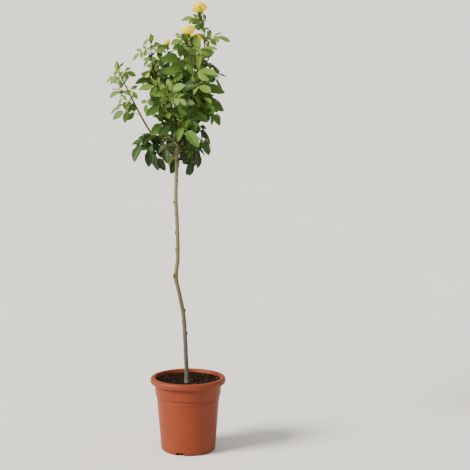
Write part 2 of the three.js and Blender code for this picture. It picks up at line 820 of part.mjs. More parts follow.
// A mass: its shoots, their leaves and what they end in, joined into one solid
function massSolid(mass, number) {
  const pieces = [];
  mass.taken = [];
  mass.shoots.forEach((shoot, order) => {
    const foot = SHOOT_FOOT_RADIUS * (order ? SIDE_SHOOT : 1);
    pieces.push(solidOf(limb(shoot.curve, taper(foot, SHOOT_TIP_RADIUS), SHOOT_SIDES, SHOOT_STEPS)));
    if (shoot.end) pieces.push(bloomSolid(shoot));
    for (let index = 0; index < shoot.leaves; index += 1) {
      const plan = fitLeaf(mass, shoot, index, 1000 * number + 100 * order + index);
      if (plan) pieces.push(leafSolid(plan));
    }
  });
  return largestBody(wasm.Manifold.union(pieces));
}

// The whole plant in its pot
const root = new THREE.Group();
root.add(meshOf('pot', pot(), plastic()));
root.add(meshOf('compost', compostFill(), compost()));
const grownStem = limb(stemPath, (t) => stemRadius(t) + GAP, STEM_SIDES, STEM_STEPS);
const stemWithGap = solidOf(grownStem).add(solidOf(grownStem.clone().translate(0, 0, GAP)));
root.add(meshOf('stem', stemSolid(), bark()));
MASSES.forEach((mass, number) => {
  const radius = taper(BOUGH_FOOT_RADIUS, BOUGH_TIP_RADIUS);
  const whole = solidOf(limb(mass.boughCurve, radius, BOUGH_SIDES, BOUGH_STEPS));
  root.add(meshOf('bough_' + mass.name, whole.subtract(stemWithGap), bark()));
  root.add(meshOf('leaves_' + mass.name, massSolid(mass, number), foliage()));
});

export default root;
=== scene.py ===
import math
from collections import namedtuple

import bmesh
import bpy
import numpy as np
from bpy.props import FloatProperty, FloatVectorProperty, IntProperty, PointerProperty
from mathutils import Matrix, Vector


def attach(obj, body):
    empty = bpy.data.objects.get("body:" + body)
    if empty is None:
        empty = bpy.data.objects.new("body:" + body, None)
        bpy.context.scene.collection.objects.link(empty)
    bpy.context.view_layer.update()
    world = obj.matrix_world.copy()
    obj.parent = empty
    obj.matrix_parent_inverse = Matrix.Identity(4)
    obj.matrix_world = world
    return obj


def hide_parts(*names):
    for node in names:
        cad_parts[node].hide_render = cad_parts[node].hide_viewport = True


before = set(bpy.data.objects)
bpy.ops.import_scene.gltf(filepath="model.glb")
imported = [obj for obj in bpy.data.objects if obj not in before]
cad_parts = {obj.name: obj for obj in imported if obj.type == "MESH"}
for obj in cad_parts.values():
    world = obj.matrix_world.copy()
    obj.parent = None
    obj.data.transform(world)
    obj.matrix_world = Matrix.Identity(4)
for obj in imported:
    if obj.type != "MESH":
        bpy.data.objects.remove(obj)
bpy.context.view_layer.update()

bl_info = {
    "name": "Standard Rose in a Pot",
    "version": (1, 0, 0),
    "blender": (4, 5, 0),
    "location": "3D View > Sidebar > Rose",
    "description": "Makes a standard rose with yellow blooms in a terracotta coloured plastic pot",
    "category": "Object",
}

# The growing rules work in millimetres, as the solids' source does. Meshes are in metres.
MM = 0.001
UP = np.array((0.0, 0.0, 1.0))
GAP = 0.3

# The pot: rim, band, body and drain notches
POT_RIM_RADIUS = 120
POT_HEIGHT = 239
ROLL_HEIGHT = 20
BAND_TOP_RADIUS = 106
BAND_FOOT_RADIUS = 102
BAND_FOOT = 181
BODY_TOP_RADIUS = 97
BODY_FOOT_RADIUS = 85
RIDGE_HEIGHT = 168
RIDGE_SIZE = 1.1
POT_WALL = 3
POT_FLOOR = 4
POT_SEGMENTS = 128
NOTCH = (30, 25, 21)
NOTCH_COUNT = 4
FIRST_NOTCH = -107
COMPOST_TOP = 219
COMPOST_EDGE = 230

# The stem and its boughs
STEM_BENDS = [
    (-2, 209), (-6.5, 310), (-12, 425), (-23, 492), (-36, 560), (-30.5, 625), (-31.5, 715),
    (-35.5, 815), (-32.5, 910), (-32, 1026),
]
STEM_FOOT_RADIUS = 6.9
STEM_TOP_RADIUS = 5.6
FLARE = 4.2
FLARE_HEIGHT = 13
GRAFT_HEIGHT = 962
GRAFT_SWELLING = 3.4
GRAFT_LENGTH = 17
BOUGH_SEAT = 0.4
BOUGH_FOOT_RADIUS = 4.1
BOUGH_TIP_RADIUS = 2.9
SHOOT_TIP_RADIUS = 1.5

# Bud scars and cut twigs on the stem: height, bearing, how far they stand out and how long they are
KNOTS = [
    (905, 75, 1.4, 5), (868, 300, 1.2, 5), (800, 182, 3.2, 7), (752, 40, 1.2, 5),
    (705, 178, 2.6, 6), (649, 184, 2.4, 6), (612, 330, 1.3, 6), (566, 190, 3.4, 13),
    (523, 95, 1.4, 5), (456, 356, 3.6, 5), (418, 210, 1.3, 5), (381, 4, 2.6, 5),
    (334, 140, 1.3, 6), (287, 290, 1.2, 5),
]

# Compound leaves: a sagging stalk with one or two pairs of leaflets and an end leaflet
LEAF_TURN = 137.5
FIRST_LEAF = 0.1
LAST_LEAF = 0.93
END_LEAVES = 0.85
BEARING_CHANCE = 24
OPENING_CHANCE = 16
ROLL_CHANCE = 44
SIZE_LEAST = 0.94
SIZE_CHANCE = 0.14
SIZE_AT_FOOT = 1.06
SIZE_LOST = 0.3
STALK_LENGTH = 66
SHORT_STALK = 0.7
STALK_BEND = 0.54
STALK_ANGLES = (60, 42, 78, 96)
STALK_SAG = 0.22
STALK_LIFT = 0.3
PAIR_PLACES = (0.36, 0.75)
PAIR_ANGLE = 68
END_LEAFLET = 54
SIDE_LEAFLETS = (36, 43)
LEAFLET_WIDTH = 0.64
LEAFLET_FOLD = 0.16
LEAFLET_HANG = 0.12

# How far a leaf keeps from the next mass, from the limbs and from other leaves
SPACE_MARGIN = 2.5
LIMB_CLEARANCE = 6
TRIES = (0, 20, -20, 40, -40, 60, -60, 85, -85, 110, -110)
PATCH_PLACES = (0.3, 0.72)
PATCH_RADIUS = 0.166
CROWN_AXIS = np.array((-40.0, 0.0, 0.0))
FACE_OUT = 0.7
LIGHT = np.array((0.05, -0.6, 0.6))

# The crown's outline from the front: how far left and right its leaves reach at a height
CROWN_OUTLINE = np.array([
    (880, -60, 12), (895, -114, 50), (930, -122, 56), (948, -186, 74), (988, -180, 80),
    (1030, -140, 66), (1048, -95, 118), (1090, -140, 118), (1160, -156, 126), (1208, -158, 126),
    (1218, -152, 98), (1262, -180, 92), (1292, -140, 142), (1325, -122, 142), (1345, -36, 62),
    (1440, -36, 70),
])
CROWN_DEPTH = 172
ARCH_REACH = -258

# The crown's dense heart, written like its outline: only here do the finer twigs fill it
HEART_OUTLINE = np.array([
    (900, -62, 16), (925, -96, 34), (1000, -116, 42), (1050, -84, 46), (1100, -98, 74),
    (1160, -106, 84), (1205, -104, 82), (1250, -70, 58), (1300, -30, 52), (1335, -16, 46),
])

# A bough leaves the stem at a height and a bearing (0 right, 90 back, 180 left, 270 front), passes
# a bend and ends at its tip. A mass's first shoot grows on from there, and the others leave the
# first one at a share of its length.
Bough = namedtuple("Bough", "height bearing bend tip")
Shoot = namedtuple("Shoot", "start bend tip leaves turn size end", defaults=(None,))
Mass = namedtuple("Mass", "name bough shoots")
MASSES = [
    Mass("left_arch", Bough(946, 184, (-90, -6, 992), (-135, -12, 1058)), [
        Shoot(0, (-184, -22, 1123), (-212, -30, 1218), 7, 90, 0.85, "bud"),
    ]),
    Mass("upper_left", Bough(1012, 196, (-57, -6, 1060), (-76, -14, 1110)), [
        Shoot(0, (-100, -38, 1210), (-107, -45, 1303), 6, 210, 0.8, "bud"),
        Shoot(0.12, (-60, 2, 1200), (-60, 12, 1288), 6, 140, 0.9, "opening"),
        Shoot(0.2, (-84, 6, 1149), (-117, 18, 1190), 3, 160, 0.8, "opening"),
        Shoot(0.06, (-98, -52, 1118), (-112, -70, 1146), 4, 130, 1.1),
    ]),
    Mass("centre", Bough(932, 330, (2, -20, 962), (12, -40, 1022)), [
        Shoot(0, (0, -62, 1159), (7, -48, 1322), 8, 200, 1.05, "bloom"),
        Shoot(0.5, (20, -32, 1232), (27, -12, 1292), 3, 50, 1.1, "bloom"),
        Shoot(0.16, (-27, -62, 1114), (-22, -68, 1204), 7, 250, 1),
        Shoot(0.08, (34, -66, 1080), (44, -72, 1130), 4, 270, 0.9),
    ]),
    Mass("tall_right", Bough(1020, 12, (-8, 12, 1080), (16, 22, 1132)), [
        Shoot(0, (59, 31, 1252), (42, 16, 1390), 10, 150, 0.9, "bloom"),
        Shoot(0.14, (36, 28, 1190), (58, 36, 1222), 4, 170, 1),
        Shoot(0.1, (10, 32, 1198), (10, 52, 1260), 6, 260, 1.05),
        Shoot(0.4, (70, 13, 1265), (38, 10, 1326), 4, 320, 1.1),
    ]),
    Mass("right", Bough(996, 8, (2, 2, 1036), (22, 0, 1078)), [
        Shoot(0, (34, -4, 1110), (40, -6, 1150), 5, 10, 1),
        Shoot(0.15, (35, -16, 1080), (48, -26, 1076), 4, 190, 1.1),
        Shoot(0.34, (71, 20, 1090), (58, 2, 1108), 4, 170, 0.85),
    ]),
    Mass("low_right", Bough(978, 342, (-4, -4, 990), (12, -10, 1000)), [
        Shoot(0, (24, -20, 1004), (34, -30, 998), 4, 190, 0.95),
        Shoot(0.25, (25, -36, 984), (20, -54, 968), 4, 130, 0.95),
        Shoot(0.3, (41, -15, 998), (54, 16, 972), 5, 170, 1.05),
    ]),
    Mass("low_left", Bough(964, 210, (-62, -20, 976), (-80, -34, 998)), [
        Shoot(0, (-102, -42, 1010), (-120, -46, 1002), 4, 330, 1.05),
        Shoot(0.1, (-92, -35, 1000), (-50, -69, 1012), 4, 100, 1),
    ]),
    Mass("front", Bough(988, 264, (-38, -38, 1010), (-44, -70, 1040)), [
        Shoot(0, (-58, -113, 1073), (-66, -120, 1152), 5, 190, 1.05),
        Shoot(0.15, (-20, -98, 1050), (0, -112, 1062), 4, 130, 0.85),
    ]),
    Mass("back_left", Bough(982, 128, (-62, 36, 1012), (-80, 62, 1050)), [
        Shoot(0, (-103, 67, 1100), (-104, 118, 1172), 5, 80, 1.1, "bud"),
        Shoot(0.1, (-108, 72, 1065), (-110, 82, 1078), 4, 330, 1.05),
    ]),
    Mass("back_right", Bough(1006, 62, (-12, 36, 1040), (8, 62, 1082)), [
        Shoot(0, (30, 84, 1134), (22, 112, 1226), 6, 180, 1, "bloom"),
        Shoot(0.12, (61, 106, 1108), (80, 72, 1118), 4, 140, 1.1),
    ]),
    Mass("back_low", Bough(958, 92, (-34, 44, 978), (-34, 76, 1006)), [
        Shoot(0, (-25, 115, 1046), (-44, 150, 1036), 5, 0, 1.05),
        Shoot(0.1, (0, 100, 995), (18, 112, 986), 3, 210, 1),
    ]),
]
BLOOM_RADII = {"bloom": 23, "opening": 11, "bud": 9}


# Curves and directions


def unit(vector):
    return vector / np.linalg.norm(vector, axis=-1, keepdims=True)


def square_to(axis, wanted):
    """Unit vectors at right angles to an axis, as near to the wanted direction as they can be"""
    return unit(wanted - (wanted * axis).sum(-1, keepdims=True) * axis)


def turned_about(vector, axis, angle):
    across = np.cross(axis, vector)
    rest = axis * (axis * vector).sum(-1, keepdims=True)
    return vector * math.cos(angle) + across * math.sin(angle) + rest * (1 - math.cos(angle))


def across_axis(direction):
    """The world axis that lies most across a direction"""
    axis = np.zeros(3)
    axis[int(np.argmin(np.abs(direction)))] = 1
    return axis


def bow(start, bend, tip):
    """The three control points of a curve that passes a bend half way"""
    start, bend, tip = (np.array(point, dtype=float) for point in (start, bend, tip))
    return np.array((start, 2 * bend - (start + tip) / 2, tip))


def point_on(curve, share):
    t = np.asarray(share, dtype=float)[..., None]
    return (1 - t) ** 2 * curve[0] + 2 * (1 - t) * t * curve[1] + t * t * curve[2]


def way_along(curve, share):
    t = np.asarray(share, dtype=float)[..., None]
    return unit((1 - t) * (curve[1] - curve[0]) + t * (curve[2] - curve[1]))


def length_of(curve):
    points = point_on(curve, np.linspace(0, 1, 17))
    return float(np.linalg.norm(np.diff(points, axis=0), axis=1).sum())


def chances(seed):
    """The same chances each run: numbers from 0 to 1"""
    mask = 0xFFFFFFFF
    state = seed & mask

    def chance():
        nonlocal state
        state = (state + 0x6D2B79F5) & mask
        t = state
        t = ((t ^ (t >> 15)) * (t | 1)) & mask
        t ^= (t + (((t ^ (t >> 7)) * (t | 61)) & mask)) & mask
        return (t ^ (t >> 14)) / 4294967296

    return chance


# The stem's axis: a smooth curve through its bends


def stem_point(share):
    """Points of the stem's axis at shares from 0, below the compost, to 1, the fork"""
    bends = np.array([(x, 0.0, z) for x, z in STEM_BENDS])
    ends = np.vstack((2 * bends[0] - bends[1], bends, 2 * bends[-1] - bends[-2]))
    place = np.clip(np.atleast_1d(share), 0, 1) * (len(bends) - 1)
    i = np.minimum(place.astype(int), len(bends) - 2)
    w = (place - i)[:, None]
    before, low, high, after = (ends[i + k] for k in range(4))
    start, stop = (high - before) / 2, (after - low) / 2
    square = -3 * low + 3 * high - 2 * start - stop
    return low + start * w + square * w**2 + (2 * low - 2 * high + start + stop) * w**3


def stem_radius(share):
    z = stem_point(share)[:, 2]
    foot = np.exp(-np.maximum(0, z - COMPOST_TOP) / FLARE_HEIGHT) * FLARE
    graft = np.exp(-(((z - GRAFT_HEIGHT) / GRAFT_LENGTH) ** 2)) * GRAFT_SWELLING
    taper = (STEM_TOP_RADIUS - STEM_FOOT_RADIUS) * np.atleast_1d(share)
    return STEM_FOOT_RADIUS + taper + foot + graft


def stem_share(height):
    """The share of the stem's axis at a height"""
    shares = np.linspace(0, 1, 4001)
    return float(np.interp(height, stem_point(shares)[:, 2], shares))


def bough_curve(bough):
    share = stem_share(bough.height)
    bearing = math.radians(bough.bearing)
    outward = np.array((math.cos(bearing), math.sin(bearing), 0))
    start = stem_point(share)[0] + outward * stem_radius(share)[0] * BOUGH_SEAT
    return bow(start, bough.bend, bough.tip)


# The space that each mass keeps to


def segments(curve, count=8):
    points = point_on(curve, np.linspace(0, 1, count + 1))
    return points[:-1], points[1:]


def stacked(lines):
    """The starts, the ends and the radii of all the lines in a list"""
    radii = [np.full(len(starts), radius, dtype=float) for starts, _, radius in lines]
    starts, ends = (np.vstack([line[k] for line in lines]) for k in (0, 1))
    return starts, ends, np.concatenate(radii)


def distance_to_lines(points, starts, ends, radii):
    """The distance from every point to every thick line from a start to its end"""
    along = ends - starts
    from_start = points[:, None] - starts
    share = (from_start * along).sum(-1) / np.maximum((along**2).sum(-1), 1e-9)
    return np.linalg.norm(from_start - np.clip(share, 0, 1)[..., None] * along, axis=-1) - radii


class Plant:
    """The masses laid out as curves, and the room that their leaves have"""

    def __init__(self, with_boughs, clearance, outline=CROWN_OUTLINE):
        self.with_boughs = with_boughs
        self.outline = outline
        self.clearance = clearance
        self.boughs = [bough_curve(mass.bough) for mass in MASSES]
        self.shoots = [self.shoot_curves(mass, bough) for mass, bough in zip(MASSES, self.boughs)]
        self.taken = [[np.empty((0, 3)), np.empty(0)] for _ in MASSES]
        self.lay_out_space()

    @staticmethod
    def shoot_curves(mass, bough):
        way = way_along(bough, 1.0)
        curves = []
        for shoot in mass.shoots:
            if curves:
                curves.append(bow(point_on(curves[0], shoot.start), shoot.bend, shoot.tip))
                continue
            curve = bow(bough[2] + way * GAP, shoot.bend, shoot.tip)
            curve[1] = curve[0] + way * np.linalg.norm(curve[1] - curve[0])
            curves.append(curve)
        return curves

    def lay_out_space(self):
        lines, self.first = [], []
        for mass, bough, curves in zip(MASSES, self.boughs, self.shoots):
            self.first.append(sum(len(starts) for starts, _, _ in lines))
            for shoot, curve in zip(mass.shoots, curves):
                lines.append((*segments(curve), 0))
                if shoot.end:
                    lines.append((curve[2:], curve[2:], BLOOM_RADII[shoot.end]))
            if self.with_boughs:
                lines.append((*segments(bough), 0))
        self.lines = stacked(lines)
        stem = stem_point(np.linspace(0, 1, 41))
        limbs = [(stem[:-1], stem[1:], STEM_FOOT_RADIUS)]
        limbs += [(*segments(bough), BOUGH_FOOT_RADIUS) for bough in self.boughs]
        self.limbs = stacked(limbs)

    def inside_outline(self, points, number):
        x, y, z = points.T
        heights, left, right = self.outline.T
        arches = MASSES[number].name == "left_arch" and not self.with_boughs
        reach = ARCH_REACH if arches else np.interp(z, heights, left)
        inside = (z >= heights[0]) & (z < heights[-1]) & (np.abs(y) <= CROWN_DEPTH)
        return inside & (x > reach) & (x < np.interp(z, heights, right))

    def stays_inside(self, points, number):
        """Whether every point is in the mass's own space and clear of the limbs"""
        if not self.inside_outline(points, number).all():
            return False
        distances = distance_to_lines(points, *self.lines)
        nearest = np.minimum.reduceat(distances, self.first, axis=1)
        own = nearest[:, number].copy()
        nearest[:, number] = np.inf
        if (nearest.min(axis=1) < own + SPACE_MARGIN).any():
            return False
        return bool((distance_to_lines(points, *self.limbs) > self.clearance).all())

    def is_clear(self, centres, radii, number):
        """Whether a leaf's patches are clear of the leaves that are there"""
        there, sizes = self.taken[number]
        gaps = np.linalg.norm(centres[:, None] - there, axis=-1) - sizes - radii[:, None]
        return bool((gaps > 0).all())

    def take(self, centres, radii, number):
        there, sizes = self.taken[number]
        self.taken[number] = [np.vstack((there, centres)), np.concatenate((sizes, radii))]


class Leaf:
    """Where a compound leaf lies: flat, laid on a sagging stalk with its face to the light"""

    def __init__(self, foot, outward, size, pairs, roll):
        self.size = size
        self.roll = roll
        self.length = STALK_LENGTH * size * (1 if pairs == 2 else SHORT_STALK)
        end = foot + outward * self.length - UP * self.length * STALK_SAG
        self.stalk = bow(foot, foot + outward * self.length * STALK_BEND, end)
        away = (foot - CROWN_AXIS) * (1, 1, 0)
        self.face = unit(away) * FACE_OUT + LIGHT
        sides = list(zip(PAIR_PLACES, SIDE_LEAFLETS))[2 - pairs:]
        self.leaflets = [(self.length, 0.0, END_LEAFLET * size)]
        for place, long in sides:
            for hand in (1, -1):
                angle = hand * math.radians(PAIR_ANGLE)
                self.leaflets.append((place * self.length, angle, long * size))

    def frame_at(self, station):
        """The stalk's point, its direction, the left and the face, at stations along it"""
        t = np.minimum(1, np.atleast_1d(station) / self.length)
        along = way_along(self.stalk, t)
        normal = turned_about(square_to(along, self.face), along, self.roll)
        return point_on(self.stalk, t), along, np.cross(normal, along), normal

    def place(self, spots):
        """Points of the flat leaf: x along its stalk, y to its left, z over its face, and the
        station of the leaflet, which is stiff, so all of it lies as the stalk does there"""
        x, y, z, station = np.array(spots).T
        point, along, left, normal = self.frame_at(station)
        ahead = x - np.minimum(station, self.length)
        return point + along * ahead[:, None] + left * y[:, None] + normal * z[:, None]

    def patches(self):
        """Two round patches for each leaflet"""
        spots, radii = [], []
        for station, angle, long in self.leaflets:
            for share in PATCH_PLACES:
                reach = long * share
                x = station + reach * math.cos(angle)
                spots.append((x, reach * math.sin(angle), 0, station))
                radii.append(long * PATCH_RADIUS)
        return self.place(spots), np.array(radii)

    def corners(self):
        """The points that are tested for room"""
        spots = [(self.length * share, 0, 0, self.length * share) for share in (0.2, 0.5, 1)]
        for station, angle, long in self.leaflets:
            half = long * LEAFLET_WIDTH / 2
            lift, hang = half * LEAFLET_FOLD, long * LEAFLET_HANG
            near = [(long * 0.26, hand * half * 0.86, lift) for hand in (1, -1)]
            far = [(long * 0.6, hand * half * 0.88, lift - hang * 0.4) for hand in (1, -1)]
            for x, y, z in (*near, *far, (long, 0, -hang), (long * 0.12, 0, 1.4)):
                along = station + x * math.cos(angle) - y * math.sin(angle)
                spots.append((along, x * math.sin(angle) + y * math.cos(angle), z, station))
        return self.place(spots)


def fit_leaf(plant, number, foot, along, bearing, spread, size, roll, most, angles=STALK_ANGLES):
    """The first way that a leaf fits: its own bearing and angle, then others near them, with five
    leaflets or three"""
    first = square_to(along, across_axis(along))
    for pairs in range(most, 0, -1):
        for angle in angles:
            opening = math.radians(angle + spread)
            for offset in TRIES:
                side = turned_about(first, along, math.radians(bearing + offset))
                outward = along * math.cos(opening) + side * math.sin(opening) + UP * STALK_LIFT
                leaf = Leaf(foot, unit(outward), size, pairs, roll)
                centres, radii = leaf.patches()
                if not plant.is_clear(centres, radii, number):
                    continue
                if plant.stays_inside(np.vstack((leaf.corners(), centres)), number):
                    plant.take(centres, radii, number)
                    return leaf
    return None


def leaf_share(shoot, index):
    """Where along its shoot a leaf stands"""
    return FIRST_LEAF + (LAST_LEAF - FIRST_LEAF) * index / max(1, shoot.leaves - 1)


def shoot_leaf(plant, number, order, index):
    """The leaf at a place on a shoot, by the same rule and chances as the solid leaves"""
    shoot, curve = MASSES[number].shoots[order], plant.shoots[number][order]
    chance = chances(1000 * number + 100 * order + index)
    t = leaf_share(shoot, index)
    bearing = shoot.turn + LEAF_TURN * index + (chance() - 0.5) * BEARING_CHANCE
    spread = (chance() - 0.5) * OPENING_CHANCE
    share = (SIZE_AT_FOOT - SIZE_LOST * t * t) * (SIZE_LEAST + chance() * SIZE_CHANCE)
    roll = math.radians((chance() - 0.5) * ROLL_CHANCE)
    most = 1 if t > END_LEAVES and shoot.end else 2
    foot, along = point_on(curve, t), way_along(curve, t)
    return fit_leaf(plant, number, foot, along, bearing, spread, shoot.size * share, roll, most)


# Finer twigs in the room that the first leaves leave

TWIG_SPACING = 30
FIRST_ON_BOUGH, FIRST_ON_SHOOT, LAST_TWIG = 0.35, 0.06, 0.92
TWIG_LENGTHS = (20, 46)
TWIG_ANGLE, TWIG_ANGLE_CHANCE = 48, 24
TWIG_LIFT, TWIG_CURL = 0.25, 0.12
TWIG_LEAVES = (0.4, 0.72, 1.0)
TWIG_LEAF_SIZES = (0.5, 0.74)
TWIG_SEED = 500000
FINE_CLEARANCE = 2.5

# Over this height the crown is open: most finer twigs are left out, and fewer in two masses
OPEN_ABOVE = 1160
LEFT_OUT = 0.86
LEFT_OUT_OF = {"tall_right": 0.35, "right": 0.35}

# Smaller leaves that show on the crown's edge: mass, shoot, share of the way along it, the way from
# there to the leaf's tip, and pairs of leaflets
EDGE_LEAVES = [
    ("tall_right", 0, 0.88, (30, -20, -36), 1),
    ("tall_right", 0, 0.8, (26, 10, -52), 1),
    ("tall_right", 0, 0.42, (58, -14, -8), 1),
    ("tall_right", 1, 0.98, (72, -12, -58), 1),
    ("centre", 0, 0.96, (-58, -6, 14), 1),
    ("centre", 3, 0.2, (52, -20, -34), 1),
    ("upper_left", 0, 0.85, (-66, -10, -2), 2),
    ("upper_left", 3, 0.94, (-22, -16, -48), 1),
    ("left_arch", 0, 0.93, (52, -8, 20), 1),
    ("left_arch", 0, 0.84, (-44, 10, 4), 1),
    ("left_arch", 0, 0.7, (46, -10, -24), 1),
    ("left_arch", 0, 0.6, (-40, -14, -30), 1),
    ("low_right", 2, 0.3, (46, -26, -34), 1),
    ("low_right", 2, 0.5, (44, -30, -16), 1),
    ("low_left", 0, 0.7, (-60, -16, -12), 2),
    ("right", 0, 0.6, (58, -20, -20), 1),
]


def fine_twig(plant, number, parent, t, chance):
    """A side twig with up to three small leaves, or None where it has no room"""
    foot, along = point_on(parent, t), way_along(parent, t)
    first = square_to(along, across_axis(along))
    side = turned_about(first, along, math.radians(360 * chance()))
    opening = math.radians(TWIG_ANGLE + TWIG_ANGLE_CHANCE * (chance() - 0.5))
    way = unit(along * math.cos(opening) + side * math.sin(opening) + UP * TWIG_LIFT)
    long = TWIG_LENGTHS[0] + (TWIG_LENGTHS[1] - TWIG_LENGTHS[0]) * chance()
    tip = foot + way * long * 0.96 + UP * long * TWIG_CURL
    twig = bow(foot, foot + way * long * 0.5, tip)
    leaves = []
    turn = 360 * chance()
    for index, share in enumerate(TWIG_LEAVES):
        size = TWIG_LEAF_SIZES[0] + (TWIG_LEAF_SIZES[1] - TWIG_LEAF_SIZES[0]) * chance()
        roll = math.radians((chance() - 0.5) * ROLL_CHANCE)
        bearing = turn + LEAF_TURN * index
        spot, heading = point_on(twig, share), way_along(twig, share)
        leaf = fit_leaf(plant, number, spot, heading, bearing, 0, size, roll, 2, STALK_ANGLES[:2])
        if leaf:
            leaves.append((share, leaf))
    if not leaves:
        return None
    reach = leaves[-1][0]
    shown = bow(foot, point_on(twig, reach / 2), point_on(twig, reach))
    return shown, [leaf for _, leaf in leaves]


def fine_twigs(plant, number):
    """The finer twigs of one mass, on its bough and on its shoots"""
    left_out = LEFT_OUT_OF.get(MASSES[number].name, LEFT_OUT)
    for order, parent in enumerate([plant.boughs[number], *plant.shoots[number]]):
        count = max(2, round(length_of(parent) / TWIG_SPACING))
        start = FIRST_ON_SHOOT if order else FIRST_ON_BOUGH
        for index in range(count):
            chance = chances(TWIG_SEED + 1000 * number + 100 * order + index)
            t = start + (LAST_TWIG - start) * (index + 0.5 * chance()) / count
            if point_on(parent, t)[2] > OPEN_ABOVE and chance() < left_out:
                continue
            twig = fine_twig(plant, number, parent, t, chance)
            if twig:
                yield twig


def edge_leaves(plant, number):
    """The smaller leaves of one mass on the crown's edge"""
    for name, order, share, way, pairs in EDGE_LEAVES:
        if name == MASSES[number].name:
            curve = plant.shoots[number][order]
            reach = STALK_LENGTH * (1 if pairs == 2 else SHORT_STALK) + END_LEAFLET
            size = np.linalg.norm(way) / reach
            yield Leaf(point_on(curve, share), unit(np.array(way, float)), size, pairs, 0.0)


# Materials: patterns follow a piece's own coordinates, in metres, or its own leaf map

NOISE, CELLS, PLACING = "ShaderNodeTexNoise", "ShaderNodeTexVoronoi", "ShaderNodeMapping"
RAMP, RANGE, MIX = "ShaderNodeValToRGB", "ShaderNodeMapRange", "ShaderNodeMix"
MATHS, PARTS, LEAF_MAP = "ShaderNodeMath", "ShaderNodeSeparateXYZ", "ShaderNodeUVMap"

# The crown's colours, which its settings offer: five greens from its heart outwards, darkest where
# older leaves have painted shade and lightest where fresh leaves have painted light, and petals
CROWN_COLOURS = {
    "leaf_shade": "#1d2f11",
    "leaf_deep": "#284117",
    "leaf_full": "#3a5620",
    "leaf_light": "#496726",
    "leaf_young": "#5f7b33",
    "petal_foot": "#f6cc00",
    "petal_edge": "#ffee00",
    "petal_blush": "#f8ab62",
    "heart_foot": "#f0b800",
    "heart_edge": "#ffe600",
    "heart_blush": "#f6a848",
}
# roughness of the five greens, from painted shade in the heart to painted light on the fresh leaves
# outside
LEAF_ROUGHNESS = {"shade": 0.5, "deep": 0.5, "full": 0.5, "light": 0.52, "young": 0.55}


def linear(hex_colour):
    """A linear colour from an sRGB hex value"""
    channels = [int(hex_colour[i : i + 2], 16) / 255 for i in (1, 3, 5)]
    return [c / 12.92 if c <= 0.04045 else ((c + 0.055) / 1.055) ** 2.4 for c in channels]


def rgba(colour):
    """A socket's colour from an sRGB hex value or from a linear colour"""
    return (*(linear(colour) if isinstance(colour, str) else colour[:3]), 1)


def add(tree, kind, inputs=(), out=0, to=None, stops=(), **settings):
    """Add a node with its settings and links, and give its output. Inputs go by name or in order,
    and take a value, a colour or another node's output. Stops are a ramp's places and colours."""
    node = tree.nodes.new(kind)
    for name, value in settings.items():
        setattr(node, name, value)
    for name, value in inputs.items() if isinstance(inputs, dict) else enumerate(inputs):
        socket = node.inputs[name]
        if isinstance(value, bpy.types.NodeSocket):
            tree.links.new(value, socket)
        else:
            socket.default_value = rgba(value) if socket.type == "RGBA" else value
    if stops:
        elements = node.color_ramp.elements
        while len(elements) < len(stops):
            elements.new(0.5)
        for element, (place, colour) in zip(elements, stops):
            element.position, element.color = place, rgba(colour)
    if to is not None:
        tree.links.new(node.outputs[out], to)
    return node.outputs[out]


def shaded(name, colour, roughness, specular):
    """A material and its nodes, with the shader's own values set"""
    material = bpy.data.materials.new(name)
    material.use_nodes = True
    material.diffuse_color = rgba(colour)
    shader = material.node_tree.nodes["Principled BSDF"].inputs
    shader["Base Color"].default_value = rgba(colour)
    shader["Roughness"].default_value = roughness
    shader["Specular IOR Level"].default_value = specular
    return material, material.node_tree


def dressed(material, colour, relief=None, depth_mm=0.0, strength=1.0):
    """The material with a pattern's colour and relief on its shader"""
    tree = material.node_tree
    shader = tree.nodes["Principled BSDF"].inputs
    tree.links.new(colour, shader["Base Color"])
    if relief is not None:
        inputs = {"Height": relief, "Distance": depth_mm * MM, "Strength": strength}
        add(tree, "ShaderNodeBump", inputs, to=shader["Normal"])
    return material


def place_on(tree, scale=(1, 1, 1)):
    """The piece's own coordinates; a scale under one draws a pattern out along an axis"""
    place = add(tree, "ShaderNodeTexCoord", out="Object")
    return add(tree, PLACING, {"Vector": place, "Scale": scale})


def blots(tree, size_mm, detail=3, roughness=0.5, scale=(1, 1, 1)):
    """A soft pattern on the piece whose blots are about size_mm across"""
    inputs = {"Vector": place_on(tree, scale), "Scale": 1000 / size_mm}
    return add(tree, NOISE, {**inputs, "Detail": detail, "Roughness": roughness})


def stained(tree, base, colour, amount, low=0, high=1, most=1):
    """A colour laid over the base colour as the amount goes from low to high"""
    share = add(tree, RANGE, (amount, low, high, 0, most))
    return add(tree, MIX, {0: share, 6: base, 7: colour}, out=2, data_type="RGBA")


def mottled(name, colour, roughness, specular, size_mm, stops, scale=(1, 1, 1)):
    """A plain finish that wanders between two tones"""
    material, tree = shaded(name, colour, roughness, specular)
    return dressed(material, add(tree, RAMP, [blots(tree, size_mm, 2, 0.5, scale)], stops=stops))


def moulded_polypropylene(colour, deeper):
    """Injection moulded polypropylene, terracotta coloured: a satin skin, a little mottled, with
    fine scratches from handling"""
    material, tree = shaded("moulded_polypropylene", colour, 0.5, 0.22)
    mottle = add(tree, RAMP, [blots(tree, 60, 4)], stops=[(0.3, deeper), (0.7, colour)])
    scratches = blots(tree, 9, 4, 0.7, (1, 1, 9))
    roughness = tree.nodes["Principled BSDF"].inputs["Roughness"]
    add(tree, RANGE, (scratches, 0.35, 0.75, 0.42, 0.6), to=roughness)
    # moulded skin: an orange peel of about a millimetre, drawn at 1.6 mm so that it shows
    return dressed(material, mottle, blots(tree, 1.6, 2), 0.05, 0.5)


